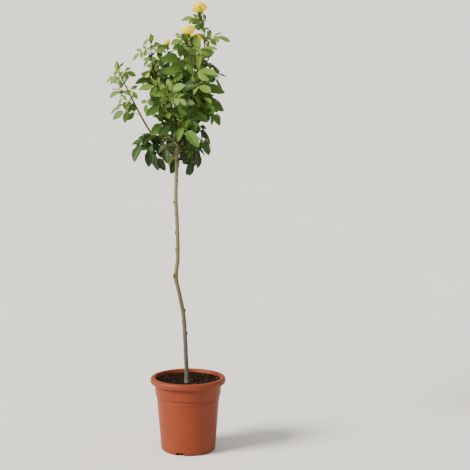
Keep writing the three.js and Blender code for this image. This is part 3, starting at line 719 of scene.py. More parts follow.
def peat_compost():
    """Moist peat compost: nearly black crumbs of 3.5 mm with brown fibres, quite matt"""
    material, tree = shaded("peat_compost", "#20140d", 0.95, 0.08)
    inputs = {"Vector": place_on(tree), "Scale": 1000 / 3.5, "Randomness": 1}
    tone = add(tree, PARTS, [add(tree, CELLS, inputs, out="Color")])
    stops = [(0.0, "#0d0906"), (0.5, "#1a110b"), (0.85, "#26190f"), (1.0, "#3c2614")]
    base = add(tree, RAMP, [tone], stops=stops)
    return dressed(material, base, blots(tree, 2.5, 5, 0.7), 0.8, 0.8)


def composted_bark(name, colour, darker):
    """Chips of composted pine bark: layered, reddish brown, matt"""
    material, tree = shaded(name, colour, 0.9, 0.15)
    layers = blots(tree, 5, 4, 0.6, (1, 1, 4))
    base = add(tree, RAMP, [layers], stops=[(0.3, darker), (0.7, colour)])
    return dressed(material, base, layers, 0.5, 0.8)


def ripened_rose_bark():
    """Ripened bark of a rose stem: grey and purplish brown low down, olive and tan above, beige
    near the head, with fine lengthwise fissures, pale lenticels and dark bud scars"""
    material, tree = shaded("ripened_rose_bark", "#756a45", 0.75, 0.2)
    wander = add(tree, RANGE, (blots(tree, 12, 4, 0.5, (1, 1, 0.25)), 0, 1, -0.05, 0.05))
    height = add(tree, PARTS, [place_on(tree)], out="Z")
    level = add(tree, MATHS, (height, wander), operation="ADD")
    stops = [
        (0.0, "#524d49"),
        (0.2, "#574f4a"),
        (0.38, "#615841"),
        (0.55, "#6d6546"),
        (0.75, "#777057"),
        (1.0, "#8a8268"),
    ]
    base = add(tree, RAMP, [add(tree, RANGE, (level, 0.2, 1.03))], stops=stops)
    fissures = blots(tree, 2.2, 5, 0.6, (1, 1, 0.08))
    base = stained(tree, base, "#33291f", fissures, 0.5, 0.75, 0.55)
    base = stained(tree, base, "#5a6230", blots(tree, 18, 3, 0.5, (1, 1, 0.2)), 0.55, 0.8, 0.4)
    # lenticels lie about 6 mm apart
    lenticels = add(tree, CELLS, {"Vector": place_on(tree, (1, 1, 0.7)), "Scale": 1000 / 6})
    base = stained(tree, base, "#a3946d", lenticels, 0.16, 0.08, 0.5)
    scars = add(tree, "ShaderNodeAttribute", out="Fac", attribute_name="scar")
    return dressed(material, stained(tree, base, "#1f150f", scars), fissures, 0.35, 0.8)


def green_rose_bark(name, colour, flush):
    """Bark of this year's rose wood: smooth, waxy and green, flushed red in long streaks as it is
    on its sunny side
    """
    material, tree = shaded(name, colour, 0.55, 0.2)
    streaks = blots(tree, 14, 3, 0.5, (1, 1, 0.3))
    tinted = stained(tree, colour, flush, streaks, 0.45, 0.75, 0.55)
    return dressed(material, tinted, blots(tree, 1.6, 3, 0.5, (1, 1, 0.15)), 0.12, 0.5)


def rose_prickle():
    """Horny rose prickles: red brown, smooth and a little shiny"""
    return mottled("rose_prickle", "#6a3226", 0.45, 0.3, 6, [(0.35, "#4f221a"), (0.7, "#7d4630")])


def leaf_skin(name, colour, roughness):
    """Waxy upper skin of a rose leaflet: plain green from leaf to leaf, with a soft gloss that the
    sunken midrib and side veins break up"""
    material, tree = shaded(name, colour, roughness, 0.18)
    along, across = add(tree, PARTS, [add(tree, LEAF_MAP, uv_map="leaf")], out=slice(0, 2))
    aside = add(tree, MATHS, (across, 0.5), operation="SUBTRACT")
    off_rib = add(tree, MATHS, [aside], operation="ABSOLUTE")
    slant = add(tree, MATHS, (off_rib, -0.55, along), operation="MULTIPLY_ADD")
    # seven side veins to a half, which is fewer and stronger than life so that they show
    wave = add(tree, MATHS, (slant, 7.0), operation="MULTIPLY")
    saw = add(tree, MATHS, (wave, 1.0), operation="PINGPONG")
    veins, rib = add(tree, RANGE, (saw, 0.0, 0.3)), add(tree, RANGE, (off_rib, 0.0, 0.06))
    relief = add(tree, MATHS, (veins, rib), operation="MULTIPLY")
    pale = stained(tree, colour, "#728a40", off_rib, 0.035, 0.015, 0.35)
    return dressed(material, pale, relief, 0.35, 0.5)


def leaf_underside():
    """The underside of a rose leaflet: paler, greyer and matt"""
    stops = [(0.3, "#3a4d22"), (0.7, "#4a5f2c")]
    return mottled("leaf_underside", "#41552a", 0.8, 0.1, 30, stops)


def petal(name, foot, edge, blush):
    """A rose petal: velvety, deep yellow at its foot and lighter outwards, with a line and patches
    of peach at its rim where the sun has been on it"""
    material, tree = shaded(name, edge, 0.65, 0.1)
    spread = add(tree, LEAF_MAP, uv_map="leaf")
    along = add(tree, PARTS, [spread])
    base = add(tree, RAMP, [along], stops=[(0.1, foot), (0.55, edge), (1.0, edge)])
    patches = add(tree, RANGE, (blots(tree, 15, 2), 0.54, 0.66, 0, 0.5))
    upper = add(tree, RANGE, (along, 0.4, 0.8))
    patched = add(tree, MATHS, (patches, upper), operation="MULTIPLY")
    line = add(tree, RANGE, (along, 0.88, 0.98, 0, 0.3))
    flushed = add(tree, MATHS, (patched, line), operation="MAXIMUM")
    # fine ribs from foot to edge, 26 across a petal
    fan = add(tree, PLACING, {"Vector": spread, "Scale": (2, 26, 1)})
    ribs = add(tree, NOISE, {"Vector": fan, "Scale": 1.0, "Detail": 2})
    return dressed(material, stained(tree, base, blush, flushed), ribs, 0.25, 0.4)


def bud_skin():
    """The furled petals and the skin of a closed bud: smooth yellow green, mottled greener and
    yellower in long streaks
    """
    stops = [(0.35, "#6f8426"), (0.7, "#aaa936")]
    return mottled("bud_skin", "#8f9a2c", 0.55, 0.2, 5, stops, (1, 1, 0.3))


def studio_paper():
    """A sweep of pale studio paper"""
    stops = [(0.3, "#e2e1df"), (0.7, "#e6e5e3")]
    return mottled("studio_paper", "#e4e3e1", 0.95, 0.05, 900, stops)


# Meshes


def new_object(name, mesh, material=None):
    piece = bpy.data.objects.new(name, mesh)
    bpy.context.scene.collection.objects.link(piece)
    if material:
        mesh.materials.clear()
        mesh.materials.append(material)
    return piece


def drop_objects(objects):
    """Remove helper objects and their meshes"""
    for item in objects:
        mesh = item.data
        bpy.data.objects.remove(item)
        bpy.data.meshes.remove(mesh)


def mesh_of(name, points, faces, smooth=True):
    """A mesh in metres from points in millimetres"""
    mesh = bpy.data.meshes.new(name)
    mesh.from_pydata((np.asarray(points) * MM).tolist(), [], faces)
    mesh.polygons.foreach_set("use_smooth", [smooth] * len(mesh.polygons))
    mesh.update()
    return mesh


def poured(shape, mesh):
    """The mesh with an edited shape in it"""
    shape.to_mesh(mesh)
    shape.free()
    return mesh


def recalculated(mesh):
    """The mesh with its doubles merged and its faces turned outwards"""
    shape = bmesh.new()
    shape.from_mesh(mesh)
    bmesh.ops.remove_doubles(shape, verts=shape.verts, dist=1e-6)
    bmesh.ops.recalc_face_normals(shape, faces=shape.faces)
    return poured(shape, mesh)


def set_attribute(mesh, name, kind, values):
    """Numbers or vectors for a mesh's points"""
    field = "vector" if kind == "FLOAT_VECTOR" else "value"
    numbers = np.array(values, dtype=np.int32 if kind == "INT" else np.float32)
    mesh.attributes.new(name, kind, "POINT").data.foreach_set(field, numbers.ravel())


def applied(piece):
    """The piece with its modifiers applied to its mesh"""
    depsgraph = bpy.context.evaluated_depsgraph_get()
    mesh = bpy.data.meshes.new_from_object(piece.evaluated_get(depsgraph), depsgraph=depsgraph)
    piece.modifiers.clear()
    old, piece.data = piece.data, mesh
    bpy.data.meshes.remove(old)
    return piece


def finished(piece, slot, *nodes):
    """Put a finished piece on the plant's body, in the place of the solids that it stands for"""
    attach(piece, "root")
    if nodes:
        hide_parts(*nodes)
    return piece


def rounded(corners, steps=6):
    """An outline whose corners are rounded: corners are (radius, height, rounding)"""
    outline = []
    for i, (r, z, rounding) in enumerate(corners):
        corner = np.array((r, z), dtype=float)
        if rounding == 0 or i in (0, len(corners) - 1):
            outline.append(corner)
            continue
        back = unit(np.array(corners[i - 1][:2]) - corner)
        ahead = unit(np.array(corners[i + 1][:2]) - corner)
        half = math.acos(max(-1, min(1, float(back @ ahead)))) / 2
        reach = rounding / math.tan(half)
        start, stop = corner + back * reach, corner + ahead * reach
        for t in np.linspace(0, 1, steps + 1):
            outline.append((1 - t) ** 2 * start + 2 * t * (1 - t) * corner + t * t * stop)
    return np.array(outline)


def tube_faces(rows, sides):
    """Faces of a closed tube of rings, whose two end points come after all the rings"""
    top, first, last = (rows - 1) * sides, rows * sides, rows * sides + 1
    faces = []
    for k in range(sides):
        after = (k + 1) % sides
        faces += [(first, after, k), (last, top + k, top + after)]
        for low in range(0, top, sides):
            faces.append((low + k, low + after, low + sides + after, low + sides + k))
    return faces


def turned_mesh(name, outline, segments):
    """A closed solid turned about the vertical axis; the outline starts and ends on the axis"""
    turns = np.linspace(0, 2 * math.pi, segments, endpoint=False)
    points = [(r * math.cos(t), r * math.sin(t), z) for r, z in outline[1:-1] for t in turns]
    points += [(0, 0, outline[0][1]), (0, 0, outline[-1][1])]
    return mesh_of(name, points, tube_faces(len(outline) - 2, segments))


def blade(name, grid, thickness, two_sided=False):
    """A closed thin mesh over a grid of points, rows along it: the top and the underside share
    their rim. On a two-sided blade the faces of the underside carry the attribute underside."""
    rows, columns = grid.shape[:2]
    normal = np.cross(np.gradient(grid, axis=0), np.gradient(grid, axis=1))
    normal /= np.maximum(np.linalg.norm(normal, axis=-1, keepdims=True), 1e-9)
    under = grid - normal * thickness
    u, v = np.meshgrid(np.linspace(0, 1, rows), np.linspace(0, 1, columns), indexing="ij")
    shape = bmesh.new()
    layer = shape.loops.layers.uv.new("leaf")
    top = [[shape.verts.new(grid[i, j]) for j in range(columns)] for i in range(rows)]
    inner = [row[:] for row in top]
    for i in range(1, rows - 1):
        for j in range(1, columns - 1):
            inner[i][j] = shape.verts.new(under[i, j])
    for below, corners in ((0, top), (1, inner)):
        for i, j in np.ndindex(rows - 1, columns - 1):
            spots = [(i, j), (i + 1, j), (i + 1, j + 1), (i, j + 1)]
            if below:
                spots.reverse()
            face = shape.faces.new([corners[a][b] for a, b in spots])
            face.smooth = True
            face.material_index = below
            for loop, spot in zip(face.loops, spots):
                loop[layer].uv = (u[spot], v[spot])
    bmesh.ops.remove_doubles(shape, verts=shape.verts, dist=1e-5)
    for edge in shape.edges:
        edge.smooth = len({face.material_index for face in edge.link_faces}) == 1
    mesh = poured(shape, bpy.data.meshes.new(name))
    below = np.empty(len(mesh.polygons), dtype=np.int32)
    mesh.polygons.foreach_get("material_index", below)
    if two_sided:
        attribute = mesh.attributes.new("underside", "BOOLEAN", "FACE")
        attribute.data.foreach_set("value", below.astype(bool))
    mesh.polygons.foreach_set("material_index", np.zeros_like(below))
    return bpy.data.objects.new(name, mesh)


# Geometry Nodes

ATTRIBUTE, PAINT = "GeometryNodeInputNamedAttribute", "GeometryNodeSetMaterial"

# What each point that a shape is set on says of it
POINT_DATA = {"turn": "FLOAT_VECTOR", "stretch": "FLOAT_VECTOR", "kind": "INT", "finish": "INT"}
Spot = namedtuple("Spot", "point axes stretch kind finish", defaults=(0, 0))


def new_tree(name, inputs):
    """A tree of geometry with its named inputs, each of a kind and with a default. Gives the tree,
    what it is given and where its result goes."""
    tree = bpy.data.node_groups.new(name, "GeometryNodeTree")
    for key, (kind, default) in {"Geometry": ("Geometry", None), **inputs}.items():
        socket = tree.interface.new_socket(key, in_out="INPUT", socket_type="NodeSocket" + kind)
        if default is not None:
            socket.default_value = default
    tree.interface.new_socket("Geometry", in_out="OUTPUT", socket_type="NodeSocketGeometry")
    result = tree.nodes.new("NodeGroupOutput").inputs[0]
    return tree, tree.nodes.new("NodeGroupInput").outputs, result


def run_tree(piece, tree, **values):
    """Run a tree on a piece, with inputs given by name, and keep its result as a plain mesh"""
    modifier = piece.modifiers.new(tree.name, "NODES")
    modifier.node_group = tree
    for socket in tree.interface.items_tree:
        if socket.item_type == "SOCKET" and socket.in_out == "INPUT" and socket.name in values:
            modifier[socket.identifier] = values[socket.name]
    return applied(piece)


def scatter_tree(name, finishes):
    """Shapes on points: each point's data say which shape stands there, how it is turned and
    stretched and which finish it gets. Faces with the attribute underside get their own."""
    inputs = {finish: ("Material", None) for finish in [*finishes, "Underside"]}
    inputs |= {"Shapes": ("Collection", None), "Size": ("Float", 1.0)}
    tree, given, result = new_tree(name, inputs)
    point = {
        key: add(tree, ATTRIBUTE, {"Name": key}, out="Attribute", data_type=kind)
        for key, kind in {**POINT_DATA, "underside": "BOOLEAN"}.items()
    }
    inputs = {"Collection": given["Shapes"], "Separate Children": True, "Reset Children": True}
    shapes = add(tree, "GeometryNodeCollectionInfo", inputs)
    turn = add(tree, "FunctionNodeEulerToRotation", [point["turn"]])
    inputs = {0: point["stretch"], "Scale": given["Size"]}
    stretch = add(tree, "ShaderNodeVectorMath", inputs, operation="SCALE")
    inputs = {"Points": given["Geometry"], "Instance": shapes, "Pick Instance": True}
    inputs |= {"Instance Index": point["kind"], "Rotation": turn, "Scale": stretch}
    placed = add(tree, "GeometryNodeInstanceOnPoints", inputs)
    shown = add(tree, "GeometryNodeRealizeInstances", [placed])
    for k, finish in enumerate(finishes):
        settings = {"data_type": "INT", "operation": "EQUAL"}
        chosen = add(tree, "FunctionNodeCompare", {2: point["finish"], 3: k}, **settings)
        inputs = {"Geometry": shown, "Selection": chosen, "Material": given[finish]}
        shown = add(tree, PAINT, inputs)
    inputs = {"Geometry": shown, "Selection": point["underside"], "Material": given["Underside"]}
    add(tree, PAINT, inputs, to=result)
    return tree


def limb_tree(name):
    """Tubes along lines: the attribute thickness gives the radius in metres"""
    tree, given, result = new_tree(name, {"Sides": ("Int", 8), "Bark": ("Material", None)})
    curve = add(tree, "GeometryNodeMeshToCurve", {"Mesh": given["Geometry"]})
    inputs = {"Resolution": given["Sides"], "Radius": 1.0}
    profile = add(tree, "GeometryNodeCurvePrimitiveCircle", inputs)
    thickness = add(tree, ATTRIBUTE, {"Name": "thickness"}, out="Attribute", data_type="FLOAT")
    inputs = {"Curve": curve, "Profile Curve": profile, "Scale": thickness, "Fill Caps": True}
    smooth = add(tree, "GeometryNodeSetShadeSmooth", [add(tree, "GeometryNodeCurveToMesh", inputs)])
    real = add(tree, "GeometryNodeRealizeInstances", [smooth])
    add(tree, PAINT, {0: real, "Material": given["Bark"]}, to=result)
    return tree


def scattered(name, spots, shapes, finishes, underside=None):
    """The shapes on the spots, as one plain mesh. A spot's axes are its x, y and z directions."""
    given = {f"Finish {k}": finish for k, finish in enumerate(finishes)}
    tree_name = f"scatter_{len(finishes)}"
    tree = bpy.data.node_groups.get(tree_name) or scatter_tree(tree_name, given)
    mesh = bpy.data.meshes.new(name)
    mesh.from_pydata([tuple(spot.point * MM) for spot in spots], [], [])
    turns = [Matrix(np.array(spot.axes).T.tolist()).to_euler()[:] for spot in spots]
    stretches = [np.array(spot.stretch) * MM for spot in spots]
    kinds, finish_numbers = [spot.kind for spot in spots], [spot.finish for spot in spots]
    for (key, kind), values in zip(POINT_DATA.items(), (turns, stretches, kinds, finish_numbers)):
        set_attribute(mesh, key, kind, values)
    piece = new_object(name, mesh)
    shelf = bpy.data.collections.new("shapes")
    for shape in shapes:
        shelf.objects.link(shape)
    run_tree(piece, tree, Shapes=shelf, Size=1.0, Underside=underside or finishes[0], **given)
    bpy.data.collections.remove(shelf)
    for key in POINT_DATA:
        if key in piece.data.attributes:
            piece.data.attributes.remove(piece.data.attributes[key])
    return piece


def limbs_along(name, lines, material, sides=8):
    """Tubes along lines of (points, radii) in millimetres, as one plain mesh"""
    tree_name = "limbs_along_lines"
    tree = bpy.data.node_groups.get(tree_name) or limb_tree(tree_name)
    edges, start = [], 0
    for line, _ in lines:
        edges += [(i, i + 1) for i in range(start, start + len(line) - 1)]
        start += len(line)
    mesh = bpy.data.meshes.new(name)
    mesh.from_pydata((np.vstack([line for line, _ in lines]) * MM).tolist(), edges, [])
    radii = np.concatenate([radius for _, radius in lines])
    set_attribute(mesh, "thickness", "FLOAT", radii * MM)
    return run_tree(new_object(name, mesh), tree, Sides=sides, Bark=material)


# The pot and the compost

# The photograph's pot is a little wider than the solid: body foot and top, band foot and top
SHOWN_BODY_FOOT, SHOWN_BODY_TOP = BODY_FOOT_RADIUS + 1.2, BODY_TOP_RADIUS + 2
SHOWN_BAND_FOOT, SHOWN_BAND_TOP = BAND_FOOT_RADIUS + 1.6, BAND_TOP_RADIUS + 1.2
SHARP_ANGLE = math.radians(40)

COMPOST_RINGS, COMPOST_SIDES = 56, 110
COMPOST_GAP = 0.6
# Lumps in the compost: how wide they are, their seed and how high they are
LUMPS = [(22, 3, 2.0), (8, 4, 1.2), (3, 5, 0.7)]
FLAT_RADIUS = 26
STEM_ROOM = 11
CRUMB_LIFT, CRUMB_TILT = 0.12, 1.1
CRUMB_SIZES, CRUMB_SEED = (2.5, 8), 71
CHIP_SIZES, CHIP_SEED = (6, 15), 72
CHIP_SPREAD = math.radians(75)


def pot_outline():
    """The pot's outline from the middle of its underside, up its outside and down its inside"""
    roll_foot = POT_HEIGHT - ROLL_HEIGHT
    ridge = SHOWN_BODY_TOP + RIDGE_SIZE
    inner_top = BAND_TOP_RADIUS - POT_WALL
    return rounded([
        (0, 0, 0),
        (SHOWN_BODY_FOOT, 0, 13),
        (SHOWN_BODY_TOP, RIDGE_HEIGHT - 2, 1),
        (ridge, RIDGE_HEIGHT - 1, 0.5),
        (ridge, RIDGE_HEIGHT + 1, 0.5),
        (SHOWN_BODY_TOP + 0.2, RIDGE_HEIGHT + 2, 0.5),
        (SHOWN_BODY_TOP + 1, BAND_FOOT - 0.5, 0.4),
        (SHOWN_BAND_FOOT, BAND_FOOT - 0.5, 1.2),
        (SHOWN_BAND_TOP, roll_foot + 6, 1),
        (POT_RIM_RADIUS - 7.5, roll_foot + 6, 2),
        (POT_RIM_RADIUS - 9, roll_foot, 0.7),
        (POT_RIM_RADIUS, roll_foot, 7),
        (POT_RIM_RADIUS, POT_HEIGHT, 8.5),
        (BAND_TOP_RADIUS - 0.5, POT_HEIGHT, 3.5),
        (inner_top, POT_HEIGHT - 11, 3),
        (inner_top, COMPOST_TOP, 1),
        (BODY_TOP_RADIUS - POT_WALL, RIDGE_HEIGHT, 2),
        (BODY_FOOT_RADIUS - POT_WALL, POT_FLOOR, 6),
        (0, POT_FLOOR, 0),
    ])


def notch_cutter():
    """Boxes where the drain notches are, as one object"""
    shape = bmesh.new()
    for i in range(NOTCH_COUNT):
        turn = Matrix.Rotation(math.radians(FIRST_NOTCH + 360 / NOTCH_COUNT * i), 4, "Z")
        place = turn @ Matrix.Translation((BODY_FOOT_RADIUS * MM, 0, 0))
        size = Matrix.Diagonal((*[side * MM for side in NOTCH], 1))
        bmesh.ops.create_cube(shape, size=1, matrix=place @ size)
    return new_object("notches", poured(shape, bpy.data.meshes.new("notches")))


def make_pot(settings):
    mesh = recalculated(turned_mesh("pot_moulded", pot_outline(), settings.segments))
    plastic = moulded_polypropylene(settings.plastic, settings.plastic_deep)
    piece = new_object("pot_moulded", mesh, plastic)
    cut = piece.modifiers.new("notches", "BOOLEAN")
    cut.operation = "DIFFERENCE"
    cut.solver = "EXACT"
    cut.object = cutter = notch_cutter()
    applied(piece)
    drop_objects([cutter])
    piece.data.set_sharp_from_angle(angle=SHARP_ANGLE)
    return finished(piece, "terracotta_plastic", "pot")


def smooth_noise(points, size, seed):
    """Value noise from -1 to 1 at points, with blots about so large"""
    cells = np.asarray(points, dtype=float) / size
    low = np.floor(cells).astype(np.int64)
    share = cells - low
    share = share * share * (3 - 2 * share)
    total = np.zeros(len(cells))
    for corner in np.ndindex(*(2,) * cells.shape[1]):
        mixed_up = np.full(len(cells), seed * 974711 + 12345, dtype=np.int64)
        for column, prime in zip((low + np.array(corner)).T, (73856093, 19349663, 83492791)):
            mixed_up = (mixed_up ^ (column * prime)) & 0x7FFFFFFF
            mixed_up = (mixed_up * 1103515245 + 12345) & 0x7FFFFFFF
        value = (mixed_up >> 8) / 0x7FFFFF * 2 - 1
        total += np.prod(np.where(np.array(corner) == 1, share, 1 - share), axis=1) * value
    return total


def compost_surface(x, y):
    """The height of the compost: a shallow dish with lumps"""
    place = np.stack((x, y), axis=-1)
    radii = (FLAT_RADIUS, BAND_TOP_RADIUS)
    dish = np.interp(np.hypot(x, y), radii, (COMPOST_TOP, COMPOST_EDGE))
    return dish + sum(smooth_noise(place, wide, seed) * high for wide, seed, high in LUMPS)


def compost_mesh():
    """The compost's lumpy top and its sides, down to the pot's floor"""
    turns = np.linspace(0, 2 * math.pi, COMPOST_SIDES, endpoint=False)
    rim, floor = BAND_TOP_RADIUS - POT_WALL - COMPOST_GAP, POT_FLOOR + 1
    radii = np.linspace(0, rim, COMPOST_RINGS + 1)[1:]
    radii = np.append(radii, BODY_FOOT_RADIUS - POT_WALL - 2)
    x, y = radii[:, None] * np.cos(turns), radii[:, None] * np.sin(turns)
    z = compost_surface(x.ravel(), y.ravel()).reshape(x.shape)
    z[-1] = floor
    middle = (0, 0, compost_surface(np.zeros(1), np.zeros(1))[0])
    points = np.vstack((np.stack((x, y, z), axis=-1).reshape(-1, 3), middle, (0, 0, floor)))
    return recalculated(mesh_of("compost_fill", points, tube_faces(len(radii), COMPOST_SIDES)))


def crumb_shapes():
    """Three rough lumps and two flat chips, a unit across"""
    shapes = []
    for k in range(5):
        shape = bmesh.new()
        bmesh.ops.create_icosphere(shape, subdivisions=1, radius=0.5)
        swell = 1 + 0.35 * smooth_noise([vert.co[:] for vert in shape.verts], 0.4, 20 + k)
        flat = 1 if k < 3 else 0.3
        for vert, factor in zip(shape.verts, swell):
            x, y, z = vert.co
            vert.co = Vector((x * factor, y * factor * (1 - 0.12 * k), z * flat))
        mesh = poured(shape, bpy.data.meshes.new(f"{k}_crumb"))
        shapes.append(bpy.data.objects.new(f"{k}_crumb", mesh))
    return shapes


def crumb_spots(count, sizes, kinds, finishes, seed, spread=math.pi):
    """Crumbs strewn on the compost, clear of the stem, as far to both sides as the spread says"""
    chance = chances(seed)
    spots = []
    while len(spots) < count:
        reach = (BAND_TOP_RADIUS - POT_WALL - 5) * math.sqrt(chance())
        turn = spread * (2 * chance() - 1)
        x, y = reach * math.cos(turn), reach * math.sin(turn)
        long = sizes[0] + (sizes[1] - sizes[0]) * chance() ** 2
        if math.hypot(x - STEM_BENDS[0][0], y) < STEM_ROOM + long / 2:
            continue
        z = float(compost_surface(np.array([x]), np.array([y]))[0]) + long * CRUMB_LIFT
        tilt = Matrix.Rotation(2 * math.pi * chance(), 3, "Z")
        tilt = tilt @ Matrix.Rotation((chance() - 0.5) * CRUMB_TILT, 3, "X")
        stretch = (long, long * (0.55 + 0.35 * chance()), long * (0.5 + 0.3 * chance()))
        kind = kinds[int(chance() * len(kinds))]
        finish = finishes[int(chance() * len(finishes))]
        spots.append(Spot(np.array((x, y, z)), np.array(tilt).T, stretch, kind, finish))
    return spots


def make_compost(settings):
    peat = peat_compost()
    finished(new_object("compost_fill", compost_mesh(), peat), "compost", "compost")
    brown = composted_bark("bark_chip_brown", "#472a17", "#2a190d")
    pale = composted_bark("bark_chip_pale", "#7d5f42", "#4b3927")
    # one crumb in six is a bit of bark, and a third of the chips are pale
    spots = crumb_spots(settings.crumbs, CRUMB_SIZES, (0, 1, 2), (0, 0, 0, 0, 0, 1), CRUMB_SEED)
    spots += crumb_spots(settings.chips, CHIP_SIZES, (3, 4), (1, 1, 2), CHIP_SEED, CHIP_SPREAD)
    shapes = crumb_shapes()
    loose = scattered("compost_crumbs", spots, shapes, [peat, brown, pale])
    drop_objects(shapes)
    return finished(loose, "compost")


# The stem and the boughs

# Bark's ribs: how its noise is scaled round a limb and drawn out along it
ROUND_LIMB, ALONG_LIMB = 4, 0.22
RIB_SEED, RIB_DEPTH = 40, 0.5
CALLUS_SEED, CALLUS_DEPTH, CALLUS_LENGTH = 47, 1.3, 20
BOUGH_SEED, BOUGH_RELIEF, BOUGH_SIDES = 60, 0.28, 14
COLLAR, COLLAR_LENGTH = 1.6, 7


def bark_tube(points, radii, sides, relief):
    """Points and faces of a closed tube: relief gives what is added to the radius at an angle and a
    distance along it"""
    along = unit(np.gradient(points, axis=0))
    side = square_to(along, np.broadcast_to(across_axis(points[-1] - points[0]), along.shape))
    other = np.cross(along, side)
    distance = np.concatenate(([0], np.cumsum(np.linalg.norm(np.diff(points, axis=0), axis=1))))
    turn, far = np.meshgrid(np.linspace(0, 2 * math.pi, sides, endpoint=False), distance)
    radius = (radii[:, None] + relief(turn, far))[..., None]
    ring = points[:, None] + side[:, None] * radius * np.cos(turn)[..., None]
    ring = ring + other[:, None] * radius * np.sin(turn)[..., None]
    spots = np.vstack((ring.reshape(-1, 3), points[0], points[-1]))
    return spots, tube_faces(len(points), sides)


def fissures(seed, depth):
    """Lengthwise ribs and hollows in bark"""

    def relief(turn, far):
        ring = np.stack((np.cos(turn), np.sin(turn), far), axis=-1).reshape(-1, 3)
        ring = ring * (ROUND_LIMB, ROUND_LIMB, ALONG_LIMB)
        coarse = smooth_noise(ring, 2.4, seed)
        fine = smooth_noise(ring * (1, 1, 2.5), 1.1, seed + 1)
        return ((coarse * 0.7 + fine * 0.3) * depth).reshape(turn.shape)

    return relief


def knot_swell(points):
    """How far the knots stand out at points on the stem, and how dark their scars are"""
    swell, scar = np.zeros(len(points)), np.zeros(len(points))
    for height, bearing, out, long in KNOTS:
        from_centre = points - stem_point(stem_share(height))[0]
        turn = math.radians(bearing)
        outward = np.array((math.cos(turn), math.sin(turn), 0))
        in_front = (from_centre * outward).sum(-1) > 0
        sideways = np.abs(from_centre @ np.array((-outward[1], outward[0], 0)))
        up = from_centre[:, 2]
        # a knot swells slowly from below and breaks off short above
        rise = np.where(up < 0, up / (long * 1.3), up / (long * 0.6))
        swell += out * np.exp(-(rise**2) - (sideways / (2.2 + long * 0.18)) ** 2) * in_front
        # its scar is dark to near its edge, and a knot that stands out less is less dark
        dark = np.exp(-(((up - 0.3) / (0.5 * long)) ** 2) - (sideways / (3.4 + 0.15 * long)) ** 2)
        dark = np.clip((dark * in_front - 0.15) / 0.4, 0, 1)
        scar = np.maximum(scar, dark * min(1.0, out / 1.8))
    return swell, scar


def stem_mesh(rings, sides):
    shares = np.linspace(stem_share(COMPOST_TOP - 5), 1, rings)
    centres = stem_point(shares)
    # the stem's head is rounded off where the boughs cover it
    top = np.clip((1 - shares) / 0.006, 0, 1)
    radii = stem_radius(shares) * np.sqrt(1 - (1 - top) ** 2 * 0.9)
    ribs, callus = fissures(RIB_SEED, RIB_DEPTH), fissures(CALLUS_SEED, CALLUS_DEPTH)
    graft = np.exp(-(((centres[:, 2] - GRAFT_HEIGHT) / CALLUS_LENGTH) ** 2))

    def relief(turn, far):
        return ribs(turn, far) + callus(turn, far * 1.5) * graft[:, None]

    points, faces = bark_tube(centres, radii, sides, relief)
    swell, scar = knot_swell(points)
    outward = np.zeros_like(points)
    outward[:-2] = unit(points[:-2] - np.repeat(centres, sides, axis=0))
    mesh = mesh_of("stem_bark", points + outward * swell[:, None], faces)
    set_attribute(mesh, "scar", "FLOAT", scar)
    return mesh


def make_stem(settings):
    mesh = stem_mesh(settings.rings, settings.sides)
    return finished(new_object("stem_bark", mesh, ripened_rose_bark()), "bark", "stem")


def make_boughs(plant):
    """Every bough with its collar on the stem, as one mesh of bark"""
    all_points, all_faces, count = [], [], 0
    for number, curve in enumerate(plant.boughs):
        long = length_of(curve)
        shares = np.linspace(0, 1.01, max(12, round(long / 2.5)))
        radii = BOUGH_FOOT_RADIUS + (BOUGH_TIP_RADIUS - BOUGH_FOOT_RADIUS) * shares
        radii = radii + COLLAR * np.exp(-shares * long / COLLAR_LENGTH)
        bark = fissures(BOUGH_SEED + number, BOUGH_RELIEF)
        points, faces = bark_tube(point_on(curve, shares), radii, BOUGH_SIDES, bark)
        all_points.append(points)
        all_faces += [tuple(index + count for index in face) for face in faces]
        count += len(points)
    mesh = mesh_of("boughs_bark", np.vstack(all_points), all_faces)
    piece = new_object("boughs_bark", mesh, green_rose_bark("bough_bark", "#4d5226", "#573a26"))
    return finished(piece, "bark", *[f"bough_{mass.name}" for mass in MASSES])


# The foliage

FOLIAGE_SEED = 900000
SHOWN_WIDTH = 0.56
LEAFLETS = [(0.22, 0.14, 0.012), (0.34, 0.2, 0.018), (0.12, 0.1, 0.022)]
LEAFLET_THICKNESS = 0.012
LEAFLET_TURN, LEAFLET_TILT = 0.24, 0.3
DROOP_LEAST, DROOP_CHANCE = 0.04, 0.16
NECK = 0.6
TWIG_RADII = (1.5, 0.9)
NODE_SWELLING, NODE_LENGTH = 0.5, 3.5
STALK_FOOT, STALK_FOOT_LENGTH = 0.7, 4

# A leaf's green: dark below this height and in the heart, a whole shade lighter over this far up
# and this far out, for older and fresh leaves in part and in part for painted shade and painted
# light
DARK_HEIGHT, LIGHT_RISE = 985, 310
HEART_RADIUS, LIGHT_REACH = 80, 260
# painted light on the arch and on the low right mass; the finer leaves are lighter, and the leaves
# at the back get painted shade
PAINTED_LIGHT_MASSES = {"left_arch": 0.32, "low_right": 0.34}
LIGHTER_FINE, PAINTED_SHADE_BACK, GREEN_CHANCE = 0.12, 0.1, 0.7

BOUGH_PRICKLES = {"spacing": 11, "size": 5.5}
SHOOT_PRICKLES = {"spacing": 14, "size": 4.2}
BOUGH_PRICKLE_SEED, SHOOT_PRICKLE_SEED = 3000, 4000


